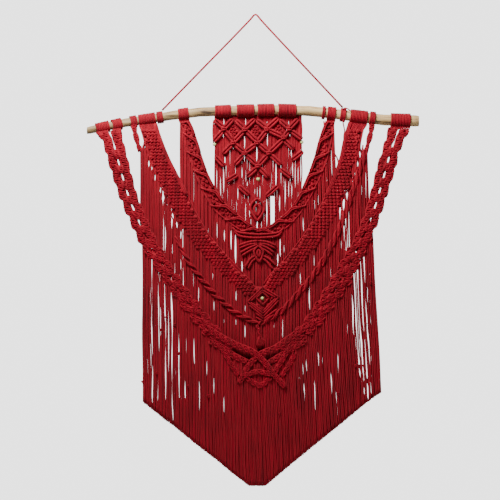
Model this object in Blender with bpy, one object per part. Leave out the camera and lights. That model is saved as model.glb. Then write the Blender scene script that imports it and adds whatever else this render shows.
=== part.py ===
# Red cotton macrame knotted on a wooden branch, 0.9 m wide, built as it hangs.
# The four panels lie one over the other: the net in the middle at the back, then three V-shaped
# bands, each in front of the one above it. Every panel is wound on the branch with its own cords.
# Front is -Y. The origin is where the hanging cord bends over its nail.

import math

import bmesh
import bpy
from mathutils import Vector

MM = 0.001

# Driving sizes, metres.
CORD = 0.004               # thickness of the cotton cord
FIT = 0.0004               # clearance between a piece and the one it touches
BRANCH_FACES = 10          # faces round the branch and round the cords wound on it
BEAD = 0.0095              # diameter of a wooden bead
FRINGE_DEPTH = 0.004       # thickness of a strand, front to back
BAND_ROOT = -0.006         # how far in front of the branch's middle a band leaves its wraps
BRANCH_DROP = 275.0        # where the bands leave the branch, millimetres below the nail
BAR_LAP = 0.17             # how far a bar runs past its ends, in widths
BAR_UNEVEN = 0.025         # how much thinner one bar is than the next one it meets
BAR_STAGGER = 0.00007      # how much nearer one bar lies than the next one
GROOVE = 0.62              # height of the groove between two lanes of knots, in half thicknesses
BACK = 0.8                 # depth of a band's flat back, in half thicknesses
LOW_RIDGE = 0.76           # height between two knots of a lane, as a share of a knot's
WAIST = 0.93               # width between two knots, as a share of a knot's
LOW_TURN = 0.86            # height of a low turn of wound cord, as a share of a high one
WRAP_STEP = 22.0           # spacing of the turns that show along a panel's wraps, millimetres
TIE_STEP = 4.5             # spacing of the turns that show along a tie, millimetres
SLOT_PIN = 0.04            # length of the pin that clears a slot
SLOT_LEAN = 0.17           # how far a slot leans with its band, in heights
ROOM_REACH = 0.02          # how far the branch's clearance runs past its ends

# Tables are in millimetres. "across" runs to the right of the nail and "drop" runs down from it.
# The branch, from its left end to its right end: across, drop, radius.
BRANCH_ROWS = (
    (-455, 315, 10.3),
    (-352, 294, 12.4),
    (-231, 275, 12.5),
    (-150, 265, 13.2),
    (-58, 261, 13.0),
    (53, 259, 13.5),
    (147, 262, 14.0),
    (247, 274, 14.6),
    (344, 286, 15.3),
    (441, 289, 15.8),
)

# The hanging cord's route, from the left tie over the nail to the right tie: across, drop.
HANGING_ROWS = (
    (-252.0, 259.8),
    (-190.0, 196.0),
    (-128.0, 132.5),
    (-66.0, 69.0),
    (-14.0, 14.8),
    (-5.0, 3.8),
    (0.0, 1.2),
    (5.0, 3.9),
    (14.0, 15.4),
    (64.0, 69.6),
    (122.0, 131.5),
    (180.0, 193.4),
    (235.5, 252.7),
)

HANGING_STEP = 12.0        # spacing of the points along the hanging cord, millimetres

# Cords wound on the branch: across from, across to.
TIE_LEFT = (-266, -249.5)
TIE_RIGHT = (229, 243)
OUTER_WRAPS = ((-431, -397), (-385, -362), (365, 418))
MIDDLE_WRAPS = ((-339, -321), (-315, -270), (256, 302), (308, 323))
INNER_WRAPS = ((-208, -180), (180, 188), (194, 216))
CENTRE_WRAPS = ((-109, -66), (-51, -4), (5, 50), (61, 109))

# Bands: across, drop, width.
OUTER_LEFT = (
    (-394, 300, 64),
    (-383, 346, 55),
    (-370, 394, 54),
    (-355, 448, 51),
    (-338, 502, 47),
    (-317, 551, 46),
    (-296, 599, 45),
    (-274, 640, 43),
    (-250, 678, 40),
    (-223, 718, 40),
    (-188, 770, 42),
    (-147, 821, 40),
    (-104, 872, 38),
)
OUTER_RIGHT = (
    (389, 296, 57),
    (375, 340, 50),
    (363, 373, 46),
    (352, 413, 51),
    (339, 459, 47),
    (328, 497, 46),
    (313, 545, 43),
    (288, 605, 43),
    (261, 659, 49),
    (228, 721, 51),
    (196, 770, 46),
    (161, 821, 42),
    (126, 861, 38),
)
MIDDLE_LEFT = (
    (-292, 288, 46),
    (-277, 340, 49),
    (-258, 394, 53),
    (-236, 443, 57),
    (-209, 497, 59),
    (-177, 559, 57),
    (-142, 613, 53),
    (-104, 656, 50),
    (-66, 695, 47),
    (-26, 734, 43),
    (-12, 749, 34),
)
MIDDLE_RIGHT = (
    (276, 284, 44),
    (261, 340, 49),
    (250, 394, 50),
    (234, 448, 54),
    (212, 497, 54),
    (190, 540, 53),
    (150, 606, 50),
    (96, 675, 50),
    (63, 707, 46),
    (42, 729, 40),
    (33, 740, 34),
)
SINNET_LEFT = (
    (-329, 296, 16),
    (-323, 319, 18),
    (-315, 351, 18),
    (-302, 375, 16),
    (-286, 421, 15),
    (-267, 473, 16),
    (-247, 524, 19),
    (-219, 591, 21),
    (-177, 670, 22),
    (-115, 745, 22),
    (-53, 803, 22),
    (8, 837, 19),
)
SINNET_RIGHT = (
    (315, 290, 16),
    (310, 319, 19),
    (297, 367, 18),
    (281, 427, 16),
    (263, 475, 16),
    (244, 529, 19),
    (215, 602, 22),
    (171, 683, 22),
    (120, 748, 22),
    (69, 801, 22),
    (8, 838, 19),
)
INNER_LEFT = (
    (-191, 276, 30),
    (-181, 319, 32),
    (-170, 362, 38),
    (-158, 400, 36),
    (-142, 443, 36),
    (-126, 475, 36),
    (-108, 506, 38),
    (-85, 532, 36),
    (-58, 554, 35),
    (-31, 574, 32),
    (5, 592, 24),
)
INNER_RIGHT = (
    (198, 276, 34),
    (189, 340, 36),
    (177, 389, 38),
    (162, 429, 36),
    (144, 470, 34),
    (123, 510, 32),
    (97, 545, 32),
    (70, 568, 34),
    (42, 586, 30),
    (4, 594, 24),
)

# Short bars, each from one end to the other, with a bend between where it has one: across, drop.
BOW = (
    ((-53, 585), (7, 598), (70, 582)),
    ((-46, 621), (7, 610), (62, 623)),
    ((-40, 643), (7, 622), (54, 644)),
    ((6, 628), (-28, 688)),
    ((9, 628), (50, 679)),
)
DIAMOND = (
    ((-24, 777), (18, 736), (65, 762)),
    ((-22, 773), (18, 814), (63, 760)),
    ((-4, 768), (18, 751), (40, 764)),
    ((-2, 765), (18, 783), (38, 762)),
)
MIDDLE_TAIL = ((8, 836), (10, 860), (14, 895))
STAR = (
    ((-122, 850), (-72, 883), (-26, 900), (7, 915), (39, 959), (74, 1002)),
    ((-118, 884), (-72, 911), (-24, 938)),
    ((132, 846), (85, 884), (53, 901), (12, 915), (-26, 953), (-45, 996)),
    ((134, 888), (77, 914), (43, 936)),
    ((96, 893), (77, 923), (53, 964)),
    ((106, 914), (88, 950), (69, 977)),
    ((-80, 906), (-63, 945), (-47, 974)),
    ((-34, 979), (3, 964), (42, 971)),
    ((-20, 982), (12, 1003), (38, 980)),
)
NET = (
    ((-108, 281), (-85, 306), (-61, 281)),
    ((-50, 281), (-27, 308), (-3, 281)),
    ((4, 281), (31, 308), (54, 281)),
    ((62, 281), (92, 305), (115, 281)),
    ((-85, 314), (-111, 343)),
    ((-85, 312), (-61, 345), (-29, 312)),
    ((-27, 312), (4, 347), (31, 312)),
    ((31, 312), (72, 338), (92, 309)),
    ((92, 313), (126, 335)),
    ((-61, 350), (-86, 380)),
    ((-60, 348), (-29, 379), (4, 350)),
    ((4, 350), (36, 381), (72, 342)),
    ((72, 341), (101, 370)),
    ((-112, 385), (-82, 410)),
    ((127, 367), (97, 395)),
    ((-29, 382), (-57, 411)),
    ((-28, 381), (5, 414), (36, 383)),
    ((36, 383), (72, 411)),
    ((-47, 427), (-82, 459)),
    ((67, 419), (102, 444)),
    ((-28, 447), (5, 418), (38, 447)),
    ((-49, 461), (-16, 492)),
    ((65, 461), (26, 492)),
    ((5, 503), (-11, 527), (4, 551)),
    ((5, 503), (20, 527), (4, 551)),
)

# Slots left open in the outer band, and eyelets between the middle band and the thin band below
# it: across, drop, width, height.
OUTER_SLOTS = (
    (-388, 346, 6, 36),
    (-373, 398, 6, 22),
    (-358, 446, 6, 18),
    (-343, 487, 6, 16),
    (-331, 522, 6, 14),
    (-316, 557, 6, 13),
    (375, 328, 5, 26),
    (369, 364, 5, 16),
    (355, 406, 5, 16),
    (347, 439, 6, 20),
    (333, 475, 5, 14),
    (324, 506, 6, 13),
    (293, 581, 5, 13),
)
MIDDLE_EYELETS = (
    (-292, 378, 5, 10),
    (-279, 417, 5, 12),
    (-271, 439, 6, 13),
    (-248, 500, 6, 14),
    (285, 359, 6, 14),
    (279, 382, 6, 15),
    (274, 404, 6, 11),
    (267, 427, 5, 12),
    (261, 447, 5, 14),
)

# Fringe: how many strands, a strand's width, and across at its first and last strand, top and foot.
FRINGES = {
    "centre_panel": {"strands": 15, "width": 4.8, "top": (-111, 125), "foot": (-111, 125)},
    "inner_panel": {"strands": 34, "width": 8.2, "top": (-201, 208), "foot": (-201, 218)},
    "middle_panel": {"strands": 42, "width": 10.6, "top": (-308, 299), "foot": (-308, 307)},
    "outer_panel": {"strands": 60, "width": 7.4, "top": (-303, 311), "foot": (-302, 337)},
}
NO_STRAND = {"centre_panel": (38, 50)}   # the net's open wedge, across from and to
WEDGE_TOP = 492
THREADS = {"middle_panel": ((18, 742, 806),)}   # a strand inside the diamond: across, drop, drop
THREAD_WIDTH = 4.8

# Where the fringe hangs from: across, drop. Between the rows it follows straight lines.
CENTRE_ROOTS = ((-120, 285), (130, 285))
INNER_ROOTS = ((-204, 288), (-181, 300), (-170, 362), (-142, 443), (-108, 506), (-58, 554),
               (-42, 566), (-26, 680), (7, 634), (48, 674), (62, 574), (97, 545), (144, 470),
               (177, 389), (192, 320), (212, 290))
MIDDLE_ROOTS = ((-311, 360), (-302, 375), (-286, 421), (-267, 473), (-247, 524), (-232, 560),
                (-209, 506), (-142, 618), (-66, 700), (-34, 728), (-24, 773), (18, 812),
                (63, 762), (70, 704), (96, 680), (150, 611), (212, 505), (234, 552), (263, 475),
                (281, 427), (300, 360))
OUTER_ROOTS = ((-312, 566), (-274, 640), (-223, 718), (-147, 821), (-112, 860), (-92, 908),
               (-73, 922), (-50, 965), (-22, 980), (12, 1000), (40, 982), (66, 976), (82, 956),
               (102, 920), (114, 898), (126, 862), (161, 821), (228, 721), (288, 605), (320, 540))

# Where the fringe ends: behind the next band for three panels, and in a shallow V at the foot.
CENTRE_FEET = ((-120, 500), (-58, 556), (-50, 676), (60, 676), (66, 572), (97, 545), (130, 500))
INNER_FEET = ((-209, 497), (-142, 613), (-66, 695), (-30, 728), (-26, 822), (62, 822), (66, 705),
              (96, 675), (150, 606), (212, 497), (222, 480))
MIDDLE_FEET = ((-317, 551), (-274, 640), (-223, 718), (-147, 821), (-118, 855), (-108, 985),
               (96, 985), (122, 862), (161, 821), (228, 721), (288, 605), (320, 530))
OUTER_FEET = ((-310, 1045), (-302, 1047), (-18, 1273), (26, 1273), (279, 1064), (306, 1043), (345, 1031))

# Each panel: how far forward it hangs and how far below the branch it gets there, in metres, the
# length of its knots in millimetres, and its tables.
PANELS = {
    "centre_panel": {"forward": 0.0, "settle": 0.040, "knot": 19, "wraps": CENTRE_WRAPS,
                     "roots": CENTRE_ROOTS, "feet": CENTRE_FEET, "slots": ()},
    "inner_panel": {"forward": 0.0085, "settle": 0.060, "knot": 18, "wraps": INNER_WRAPS,
                    "roots": INNER_ROOTS, "feet": INNER_FEET, "slots": ()},
    "middle_panel": {"forward": 0.0185, "settle": 0.070, "knot": 20, "wraps": MIDDLE_WRAPS,
                     "roots": MIDDLE_ROOTS, "feet": MIDDLE_FEET, "slots": MIDDLE_EYELETS},
    "outer_panel": {"forward": 0.0295, "settle": 0.120, "knot": 20, "wraps": OUTER_WRAPS,
                    "roots": OUTER_ROOTS, "feet": OUTER_FEET, "slots": OUTER_SLOTS},
}

# Bands: name, panel, rows, lanes of knots side by side, thickness in metres.
BANDS = (
    ("outer_left", "outer_panel", OUTER_LEFT, 2, 0.0108),
    ("outer_right", "outer_panel", OUTER_RIGHT, 2, 0.0108),
    ("middle_left", "middle_panel", MIDDLE_LEFT, 2, 0.0098),
    ("middle_right", "middle_panel", MIDDLE_RIGHT, 2, 0.0098),
    ("sinnet_left", "middle_panel", SINNET_LEFT, 1, 0.0090),
    ("sinnet_right", "middle_panel", SINNET_RIGHT, 1, 0.0090),
    ("inner_left", "inner_panel", INNER_LEFT, 2, 0.0084),
    ("inner_right", "inner_panel", INNER_RIGHT, 2, 0.0084),
)

# Short bars: width and length of a knot in millimetres, thickness and how far in front of their
# panel's own depth in metres, and whether one bar bends or each straight stretch is its own.
BARS = {
    "net": {"panel": "centre_panel", "rows": NET, "width": 12, "knot": 19, "thick": 0.0080,
            "nearer": 0.0, "bends": True},
    "bow": {"panel": "inner_panel", "rows": BOW, "width": 13, "knot": 14, "thick": 0.0078,
            "nearer": 0.0, "bends": True},
    "diamond": {"panel": "middle_panel", "rows": DIAMOND, "width": 11, "knot": 14, "thick": 0.0085,
                "nearer": 0.0, "bends": False},
    "tail": {"panel": "middle_panel", "rows": (MIDDLE_TAIL,), "width": 15, "knot": 14,
             "thick": 0.0085, "nearer": 0.0, "bends": True},
    "star": {"panel": "outer_panel", "rows": STAR, "width": 19, "knot": 20, "thick": 0.0095,
             "nearer": 0.001, "bends": True},
}

# Beads: the panel whose strand each is threaded on, across, drop.
BEADS = {
    "bead_left": ("centre_panel", -111.0, 352),
    "bead_right": ("centre_panel", 125.0, 346),
    "bead_middle": ("centre_panel", 7.0, 446),
    "bead_diamond": ("middle_panel", 18.0, 767),
}


def rows_at(rows, across, column=1):
    # The value of a column where a table's rows, in order of across, pass this place.
    rows = sorted(rows)
    for low, high in zip(rows, rows[1:]):
        if across <= high[0]:
            share = (across - low[0]) / (high[0] - low[0])
            return low[column] + max(share, 0.0) * (high[column] - low[column])
    return rows[-1][column]


def smooth(rows, step):
    # A soft curve through a table's rows, in millimetres, read about every step.
    rows = [Vector(row) for row in rows]
    ends = [2 * rows[0] - rows[1]] + rows + [2 * rows[-1] - rows[-2]]
    points = [rows[0]]
    for before, start, stop, after in zip(ends, ends[1:], ends[2:], ends[3:]):
        count = max(1, round((stop - start).length / step))
        for index in range(1, count + 1):
            t = index / count
            points.append(0.5 * (2 * start + t * (stop - before)
                                 + t ** 2 * (2 * before - 5 * start + 4 * stop - after)
                                 + t ** 3 * (3 * start - before - 3 * stop + after)))
    return points


def forward_at(panel, drop):
    # A band leaves its wraps just in front of the branch and then eases out to its own depth.
    sizes = PANELS[panel]
    share = min(max((drop - BRANCH_DROP) * MM / sizes["settle"], 0.0), 1.0)
    ease = share * share * (3 - 2 * share)
    root = BAND_ROOT if sizes["forward"] else 0.0
    return root + ease * (-sizes["forward"] - root)


def new_object(name, bm, collection, material=None):
    bm.normal_update()
    bmesh.ops.recalc_face_normals(bm, faces=bm.faces)
    mesh = bpy.data.meshes.new(name)
    bm.to_mesh(mesh)
    bm.free()
    obj = bpy.data.objects.new(name, mesh)
    collection.objects.link(obj)
    if material:
        mesh.materials.append(material)
    return obj


def helper(obj):
    obj.hide_render = True
    obj.display_type = "WIRE"
    return obj


def cross_section(lanes):
    # Points round a band that has this many rows of knots side by side: across and depth in half
    # sizes, and the lane whose knots raise the point. A crown stands at the middle of each lane,
    # and the grooves and edges, which no knot raises, are lower.
    front = []
    for index in range(2 * lanes + 1):
        crown = index % 2 == 1
        front.append((index / lanes - 1, -1.0 if crown else -GROOVE, index // 2 if crown else None))
    return front + [(1, BACK, 0), (-1, BACK, lanes - 1)]


def ridged_band(name, panel, rows, lanes, thick, knot_length, nearer, collection):
    # A closed band along a table's rows. Knots show as ridges across it, and they alternate
    # from one lane to the next.
    stations = smooth(rows, knot_length)
    section = cross_section(lanes)
    bm = bmesh.new()
    rings = []
    for index, station in enumerate(stations):
        ahead = stations[min(index + 1, len(stations) - 1)]
        behind = stations[max(index - 1, 0)]
        along = Vector((ahead[0] - behind[0], behind[1] - ahead[1])).normalized()
        side = Vector((-along[1], along[0]))
        middle_y = forward_at(panel, station[1]) - nearer
        ring = []
        for across, depth, lane in section:
            knot = (index + (lane or 0)) % 2 == 0
            reach = across * station[2] / 2 * MM * (1.0 if knot else WAIST)
            raised = depth * thick / 2 * (1.0 if knot or lane is None else LOW_RIDGE)
            ring.append(bm.verts.new((
                station[0] * MM + side[0] * reach,
                middle_y + raised,
                -station[1] * MM + side[1] * reach,
            )))
        rings.append(ring)
    for ring, following in zip(rings, rings[1:]):
        for a, b, c, d in zip(ring, ring[1:] + ring[:1], following[1:] + following[:1], following):
            bm.faces.new((a, b, c, d))
    bm.faces.new(rings[0])
    bm.faces.new(rings[-1])
    return helper(new_object(name, bm, collection))


def short_bars(name, collection):
    # Bars of half hitches, each run a little into the knots at its ends. A sharp bend is two
    # straight bars that lap. No two bars that cross are equally thick, so one passes into the other.
    sizes = BARS[name]
    made = []
    for number, bar in enumerate(sizes["rows"]):
        pieces = [bar] if sizes["bends"] else list(zip(bar, bar[1:]))
        for part, ends in enumerate(pieces):
            rows = [Vector((across, drop, sizes["width"])) for across, drop in ends]
            lap = sizes["width"] * BAR_LAP
            start, stop = rows[0], rows[-1]
            rows[0] = start - (rows[1] - start).normalized() * lap
            rows[-1] = stop + (stop - rows[-2]).normalized() * lap
            thick = sizes["thick"] * (1.0 - BAR_UNEVEN * ((number + 2 * part) % 5))
            nearer = sizes["nearer"] + BAR_STAGGER * ((2 * number + part) % 7)
            made.append(ridged_band(
                f"{name}_{number}_{part}", sizes["panel"], rows, 1, thick, sizes["knot"], nearer, collection,
            ))
    return made


def strand(bm, top, foot, width):
    # One four-sided strand from (across, y, drop) at its top to the same at its foot.
    made = bmesh.ops.create_cube(bm, size=1.0)
    for vert in made["verts"]:
        end = top if vert.co.z > 0 else foot
        vert.co = Vector((
            (end[0] + vert.co.x * width) * MM,
            end[1] + vert.co.y * FRINGE_DEPTH,
            -end[2] * MM,
        ))


def fringe(panel, collection):
    # A panel's strands as one piece, with the strands that hang inside its knots.
    sizes = FRINGES[panel]
    gap_from, gap_to = NO_STRAND.get(panel, (0, 0))
    bm = bmesh.new()
    last = sizes["strands"] - 1
    for index in range(sizes["strands"]):
        share = index / last
        across_top = sizes["top"][0] + share * (sizes["top"][1] - sizes["top"][0])
        across_foot = sizes["foot"][0] + share * (sizes["foot"][1] - sizes["foot"][0])
        drop_top = rows_at(PANELS[panel]["roots"], across_top)
        drop_foot = rows_at(PANELS[panel]["feet"], across_foot)
        if gap_from < across_top < gap_to:
            drop_foot = WEDGE_TOP
        top = (across_top, forward_at(panel, drop_top), drop_top)
        foot = (across_foot, forward_at(panel, drop_foot), drop_foot)
        strand(bm, top, foot, sizes["width"])
    for across, drop_top, drop_foot in THREADS.get(panel, ()):
        depth = forward_at(panel, drop_top)
        strand(bm, (across, depth, drop_top), (across, depth, drop_foot), THREAD_WIDTH)
    return helper(new_object(f"{panel}_fringe", bm, collection))


def round_length(name, points, radii, faces, collection):
    # A round length along these points as a mesh, with its own radius at each point.
    data = bpy.data.curves.new(name, "CURVE")
    data.dimensions = "3D"
    data.bevel_depth = 1.0
    data.bevel_resolution = (faces - 4) // 2
    data.use_fill_caps = True
    spline = data.splines.new("POLY")
    spline.points.add(len(points) - 1)
    for point, place, radius in zip(spline.points, points, radii):
        point.co = (*place, 1.0)
        point.radius = radius
    curve = bpy.data.objects.new(f"{name}_curve", data)
    collection.objects.link(curve)
    evaluated = curve.evaluated_get(bpy.context.evaluated_depsgraph_get())
    mesh = bpy.data.meshes.new_from_object(evaluated)
    bpy.data.objects.remove(curve)
    bm = bmesh.new()
    bm.from_mesh(mesh)
    bpy.data.meshes.remove(mesh)
    bmesh.ops.remove_doubles(bm, verts=bm.verts, dist=0.00001)
    return new_object(name, bm, collection)


def branch_points(start, stop, step):
    # Places spaced evenly across, on the branch's middle line.
    count = max(2, round((stop - start) / step))
    places = [start + (stop - start) * index / count for index in range(count + 1)]
    return [(place * MM, 0.0, -rows_at(BRANCH_ROWS, place) * MM) for place in places]


def branch_length(name, extra, reach, collection):
    # The branch from end to end, made thicker and longer by these sizes.
    points = [(row[0] * MM, 0.0, -row[1] * MM) for row in BRANCH_ROWS]
    radii = [row[2] * MM + extra for row in BRANCH_ROWS]
    for end, inner in ((0, 1), (-1, -2)):
        out = (Vector(points[end]) - Vector(points[inner])).normalized()
        points[end] = tuple(Vector(points[end]) + out * reach)
    return round_length(name, points, radii, BRANCH_FACES, collection)


def wraps(name, ranges, step, collection):
    # Cords wound on the branch, raised at every other place so that the turns show.
    made = []
    for number, (start, stop) in enumerate(ranges):
        points = branch_points(start, stop, step)
        radii = []
        for index, point in enumerate(points):
            under = rows_at(BRANCH_ROWS, point[0] / MM, 2) * MM
            radii.append(under + FIT + CORD * (1.0 if index % 2 else LOW_TURN))
        made.append(helper(round_length(f"{name}_{number}", points, radii, BRANCH_FACES, collection)))
    return made


def openings(panel, collection):
    # Four-sided pins through a panel's bands, each leaving a slot of its row's width and height.
    made = []
    for number, (across, drop, width, height) in enumerate(PANELS[panel]["slots"]):
        bm = bmesh.new()
        bmesh.ops.create_cone(bm, cap_ends=True, segments=4, radius1=0.5, radius2=0.5, depth=SLOT_PIN)
        lean = -math.copysign(SLOT_LEAN, across)
        for vert in bm.verts:
            up = vert.co.y * height
            vert.co = Vector((
                (across + vert.co.x * width + up * lean) * MM,
                forward_at(panel, drop) + vert.co.z,
                (up - drop) * MM,
            ))
        made.append(helper(new_object(f"{panel}_slot_{number}", bm, collection)))
    return made


def grouped(name, pieces):
    group = bpy.data.collections.new(name)
    bpy.context.scene.collection.children.link(group)
    group.hide_render = True
    for piece in pieces:
        group.objects.link(piece)
    return group


def fused(name, pieces, cutters, material, collection):
    # The pieces knotted into one, and then cleared of what the cutters hold.
    base = pieces[0].copy()
    base.data = pieces[0].data.copy()
    base.name = name
    base.hide_render = False
    base.display_type = "TEXTURED"
    collection.objects.link(base)
    base.data.materials.clear()
    base.data.materials.append(material)
    steps = [("UNION", f"{name}_pieces", pieces[1:]), ("DIFFERENCE", f"{name}_room", cutters)]
    for operation, label, objects in steps:
        if objects:
            boolean = base.modifiers.new(label, "BOOLEAN")
            boolean.operation = operation
            boolean.operand_type = "COLLECTION"
            boolean.collection = grouped(label, objects)
    return base


def material(name, colour, roughness):
    made = bpy.data.materials.new(name)
    made.use_nodes = True
    shader = made.node_tree.nodes["Principled BSDF"]
    shader.inputs["Base Color"].default_value = (*colour, 1.0)
    shader.inputs["Roughness"].default_value = roughness
    shader.inputs["Metallic"].default_value = 0.0
    return made


def hanging_cord(collection, cotton):
    points = smooth([(across, drop, 0) for across, drop in HANGING_ROWS], HANGING_STEP)
    places = [(point[0] * MM, 0.0, -point[1] * MM) for point in points]
    cord = round_length("hanging_cord", places, [CORD / 2] * len(places), 8, collection)
    cord.data.materials.append(cotton)
    cord.data.shade_smooth()
    return cord


def bead(name, helpers, collection, wood):
    # A bead threaded on one strand, which passes through it with a little room.
    panel, across, drop = BEADS[name]
    middle = (across * MM, forward_at(panel, drop), -drop * MM)
    bm = bmesh.new()
    bmesh.ops.create_uvsphere(bm, u_segments=8, v_segments=6, radius=BEAD / 2)
    bmesh.ops.translate(bm, verts=bm.verts, vec=middle)
    ball = new_object(name, bm, collection, wood)
    hole = bmesh.new()
    bmesh.ops.create_cube(hole, size=1.0)
    wide = THREAD_WIDTH * MM + 2 * FIT
    for vert in hole.verts:
        vert.co = Vector((vert.co.x * wide, vert.co.y * (FRINGE_DEPTH + 2 * FIT), vert.co.z * 2 * BEAD))
        vert.co += Vector(middle)
    cutter = helper(new_object(f"{name}_hole", hole, helpers))
    clear = ball.modifiers.new("Hole", "BOOLEAN")
    clear.operation = "DIFFERENCE"
    clear.object = cutter
    return ball


def main():
    for obj in list(bpy.data.objects):
        bpy.data.objects.remove(obj, do_unlink=True)
    scene = bpy.context.scene.collection
    parts = bpy.data.collections.new("macrame_wall_hanging")
    helpers = bpy.data.collections.new("helpers")
    scene.children.link(parts)
    scene.children.link(helpers)

    cotton = material("red_cotton", (0.33, 0.012, 0.020), 0.85)
    wood = material("branch_wood", (0.55, 0.40, 0.24), 0.65)
    bead_wood = material("bead_wood", (0.62, 0.60, 0.28), 0.5)

    branch = branch_length("branch", 0.0, 0.0, parts)
    branch.data.materials.append(wood)
    branch.data.shade_smooth()
    room = helper(branch_length("branch_room", FIT, ROOM_REACH, helpers))

    hanging_cord(parts, cotton)
    for name, span in (("tie_left", TIE_LEFT), ("tie_right", TIE_RIGHT)):
        fused(name, wraps(f"{name}_turns", (span,), TIE_STEP, helpers), [room], cotton, parts)

    for panel, sizes in PANELS.items():
        pieces = [
            ridged_band(name, panel, rows, lanes, thick, sizes["knot"], 0.0, helpers)
            for name, owner, rows, lanes, thick in BANDS if owner == panel
        ]
        for name, bars in BARS.items():
            if bars["panel"] == panel:
                pieces += short_bars(name, helpers)
        pieces.append(fringe(panel, helpers))
        pieces += wraps(f"{panel}_wraps", sizes["wraps"], WRAP_STEP, helpers)
        fused(panel, pieces, [room] + openings(panel, helpers), cotton, parts)

    for name in BEADS:
        bead(name, helpers, parts, bead_wood)


main()
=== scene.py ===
import math

import bmesh
import bpy
import numpy as np
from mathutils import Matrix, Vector, noise


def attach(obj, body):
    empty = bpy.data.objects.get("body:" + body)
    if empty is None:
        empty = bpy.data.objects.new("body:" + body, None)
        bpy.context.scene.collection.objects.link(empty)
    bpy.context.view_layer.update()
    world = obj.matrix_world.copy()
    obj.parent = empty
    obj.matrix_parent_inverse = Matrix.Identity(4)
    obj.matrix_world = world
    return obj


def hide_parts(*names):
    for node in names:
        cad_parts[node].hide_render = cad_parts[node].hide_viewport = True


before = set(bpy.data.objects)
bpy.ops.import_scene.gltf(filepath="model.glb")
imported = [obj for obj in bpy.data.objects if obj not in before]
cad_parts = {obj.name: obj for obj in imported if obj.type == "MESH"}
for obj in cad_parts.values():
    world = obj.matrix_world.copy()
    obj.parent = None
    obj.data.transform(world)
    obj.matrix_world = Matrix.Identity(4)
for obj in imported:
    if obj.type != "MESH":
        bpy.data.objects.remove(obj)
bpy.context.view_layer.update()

# A red cotton macrame wound on a branch, with every cord a tube. Front is -Y.
# Tables are in millimetres from the nail: across to the right, drop downwards.
mm = 0.001
chance = np.random.default_rng(7)

cotton = {
    "thickness": 4.0,        # the cord
    "sides": 6,              # faces round a cord
    "twist": 7.5,            # length of one turn of the cord's twist
    "plies": 3,
    "plyShape": 0.45,        # lower makes each ply rounder
    "red": (0.37, 0.003, 0.016),
    "deepRed": (0.11, 0.001, 0.006),
    "stops": (0.45, 0.92),   # where the shade is deep red, and where it is red
    "plyPaintedShade": 0.5,         # how much the painted shade between the plies, the streaks and the dye change the colour
    "streakShade": 0.8,
    "dyeShade": 0.35,
    "level": 0.9,            # lower is darker all over
    "streaks": (190.0, 60.0, 3.5),
    "dyePatches": 16.0,
    "fibres": 1400.0,
    "fibreHeight": 0.35,
    "bumpStrength": 0.55,
    "bumpHeight": 0.0006,
    "roughness": 0.85,
    "shine": 0.2,
    "sheen": 0.14,
    "sheenTint": (1.0, 0.25, 0.25),
}


# Cords are collected in a bundle and become one mesh at the end.
def newBundle():
    return {"verts": [], "faces": [], "maps": [], "count": 0}


def keep(bundle, verts, faces, maps):
    bundle["verts"].append(verts)
    bundle["faces"].append(faces + bundle["count"])
    bundle["maps"].append(maps)
    bundle["count"] += len(verts)


def addTube(bundle, points, radius=None, sides=None, closed=False):
    # A round cord along these points, in metres. Its map runs along it in metres and once round it.
    points = np.asarray(points, float)
    sides = sides or cotton["sides"]
    radius = cotton["thickness"] / 2 * mm if radius is None else radius
    count = len(points)
    if closed:
        heading = np.roll(points, -1, axis=0) - np.roll(points, 1, axis=0)
    else:
        heading = np.vstack((points[1:], points[-1:])) - np.vstack((points[:1], points[:-1]))
    heading /= np.linalg.norm(heading, axis=1)[:, None]
    normal = np.empty_like(points)
    facing = np.array((0.0, 1.0, 0.0)) if abs(heading[0][1]) < 0.8 else np.array((1.0, 0.0, 0.0))
    for index in range(count):
        facing = facing - heading[index] * (facing @ heading[index])
        facing = facing / math.sqrt(facing @ facing)
        normal[index] = facing
    across = np.cross(heading, normal)
    angle = math.pi / 2 + np.arange(sides) * 2 * math.pi / sides
    reach = np.broadcast_to(np.asarray(radius, float), (count,))[:, None, None]
    ring = (np.cos(angle)[None, :, None] * normal[:, None, :]
            + np.sin(angle)[None, :, None] * across[:, None, :])
    verts = (points[:, None, :] + reach * ring).reshape(-1, 3)
    rows = np.arange(count if closed else count - 1)[:, None]
    column = np.arange(sides)[None, :]
    following = (rows + 1) % count
    beside = (column + 1) % sides
    corners = (rows * sides + column, rows * sides + beside,
               following * sides + beside, following * sides + column)
    faces = np.stack(np.broadcast_arrays(*corners), axis=2).reshape(-1, 4)
    steps = np.linalg.norm(np.roll(points, -1, axis=0) - points, axis=1)
    along = np.concatenate(([0.0], np.cumsum(steps)))
    near, far = along[rows[:, 0]][:, None], along[rows[:, 0] + 1][:, None]
    left, right = column / sides, (column + 1) / sides
    maps = np.stack([
        np.stack(np.broadcast_arrays(u, v), axis=2)
        for u, v in ((near, left), (near, right), (far, right), (far, left))
    ], axis=2).reshape(-1, 4, 2)
    if not closed:
        end = np.array([(0, k, k + 1, k + 2) for k in range(1, sides - 2, 2)])
        ends = np.vstack((end[:, ::-1], end + (count - 1) * sides))
        faces = np.vstack((faces, ends))
        maps = np.concatenate((maps, np.zeros((len(ends), 4, 2))))
    keep(bundle, verts, faces, maps)


def addCopy(bundle, motif, place, across, up, out, size=1.0):
    # A copy of a small bundle with its own right, up and front along these directions.
    verts = motif["verts"] * size
    turned = verts[:, :1] * across + verts[:, 1:2] * up + verts[:, 2:] * out
    keep(bundle, turned + place, motif["faces"], motif["maps"])


def settled(bundle):
    return {part: np.concatenate(bundle[part]) for part in ("verts", "faces", "maps")}


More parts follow.
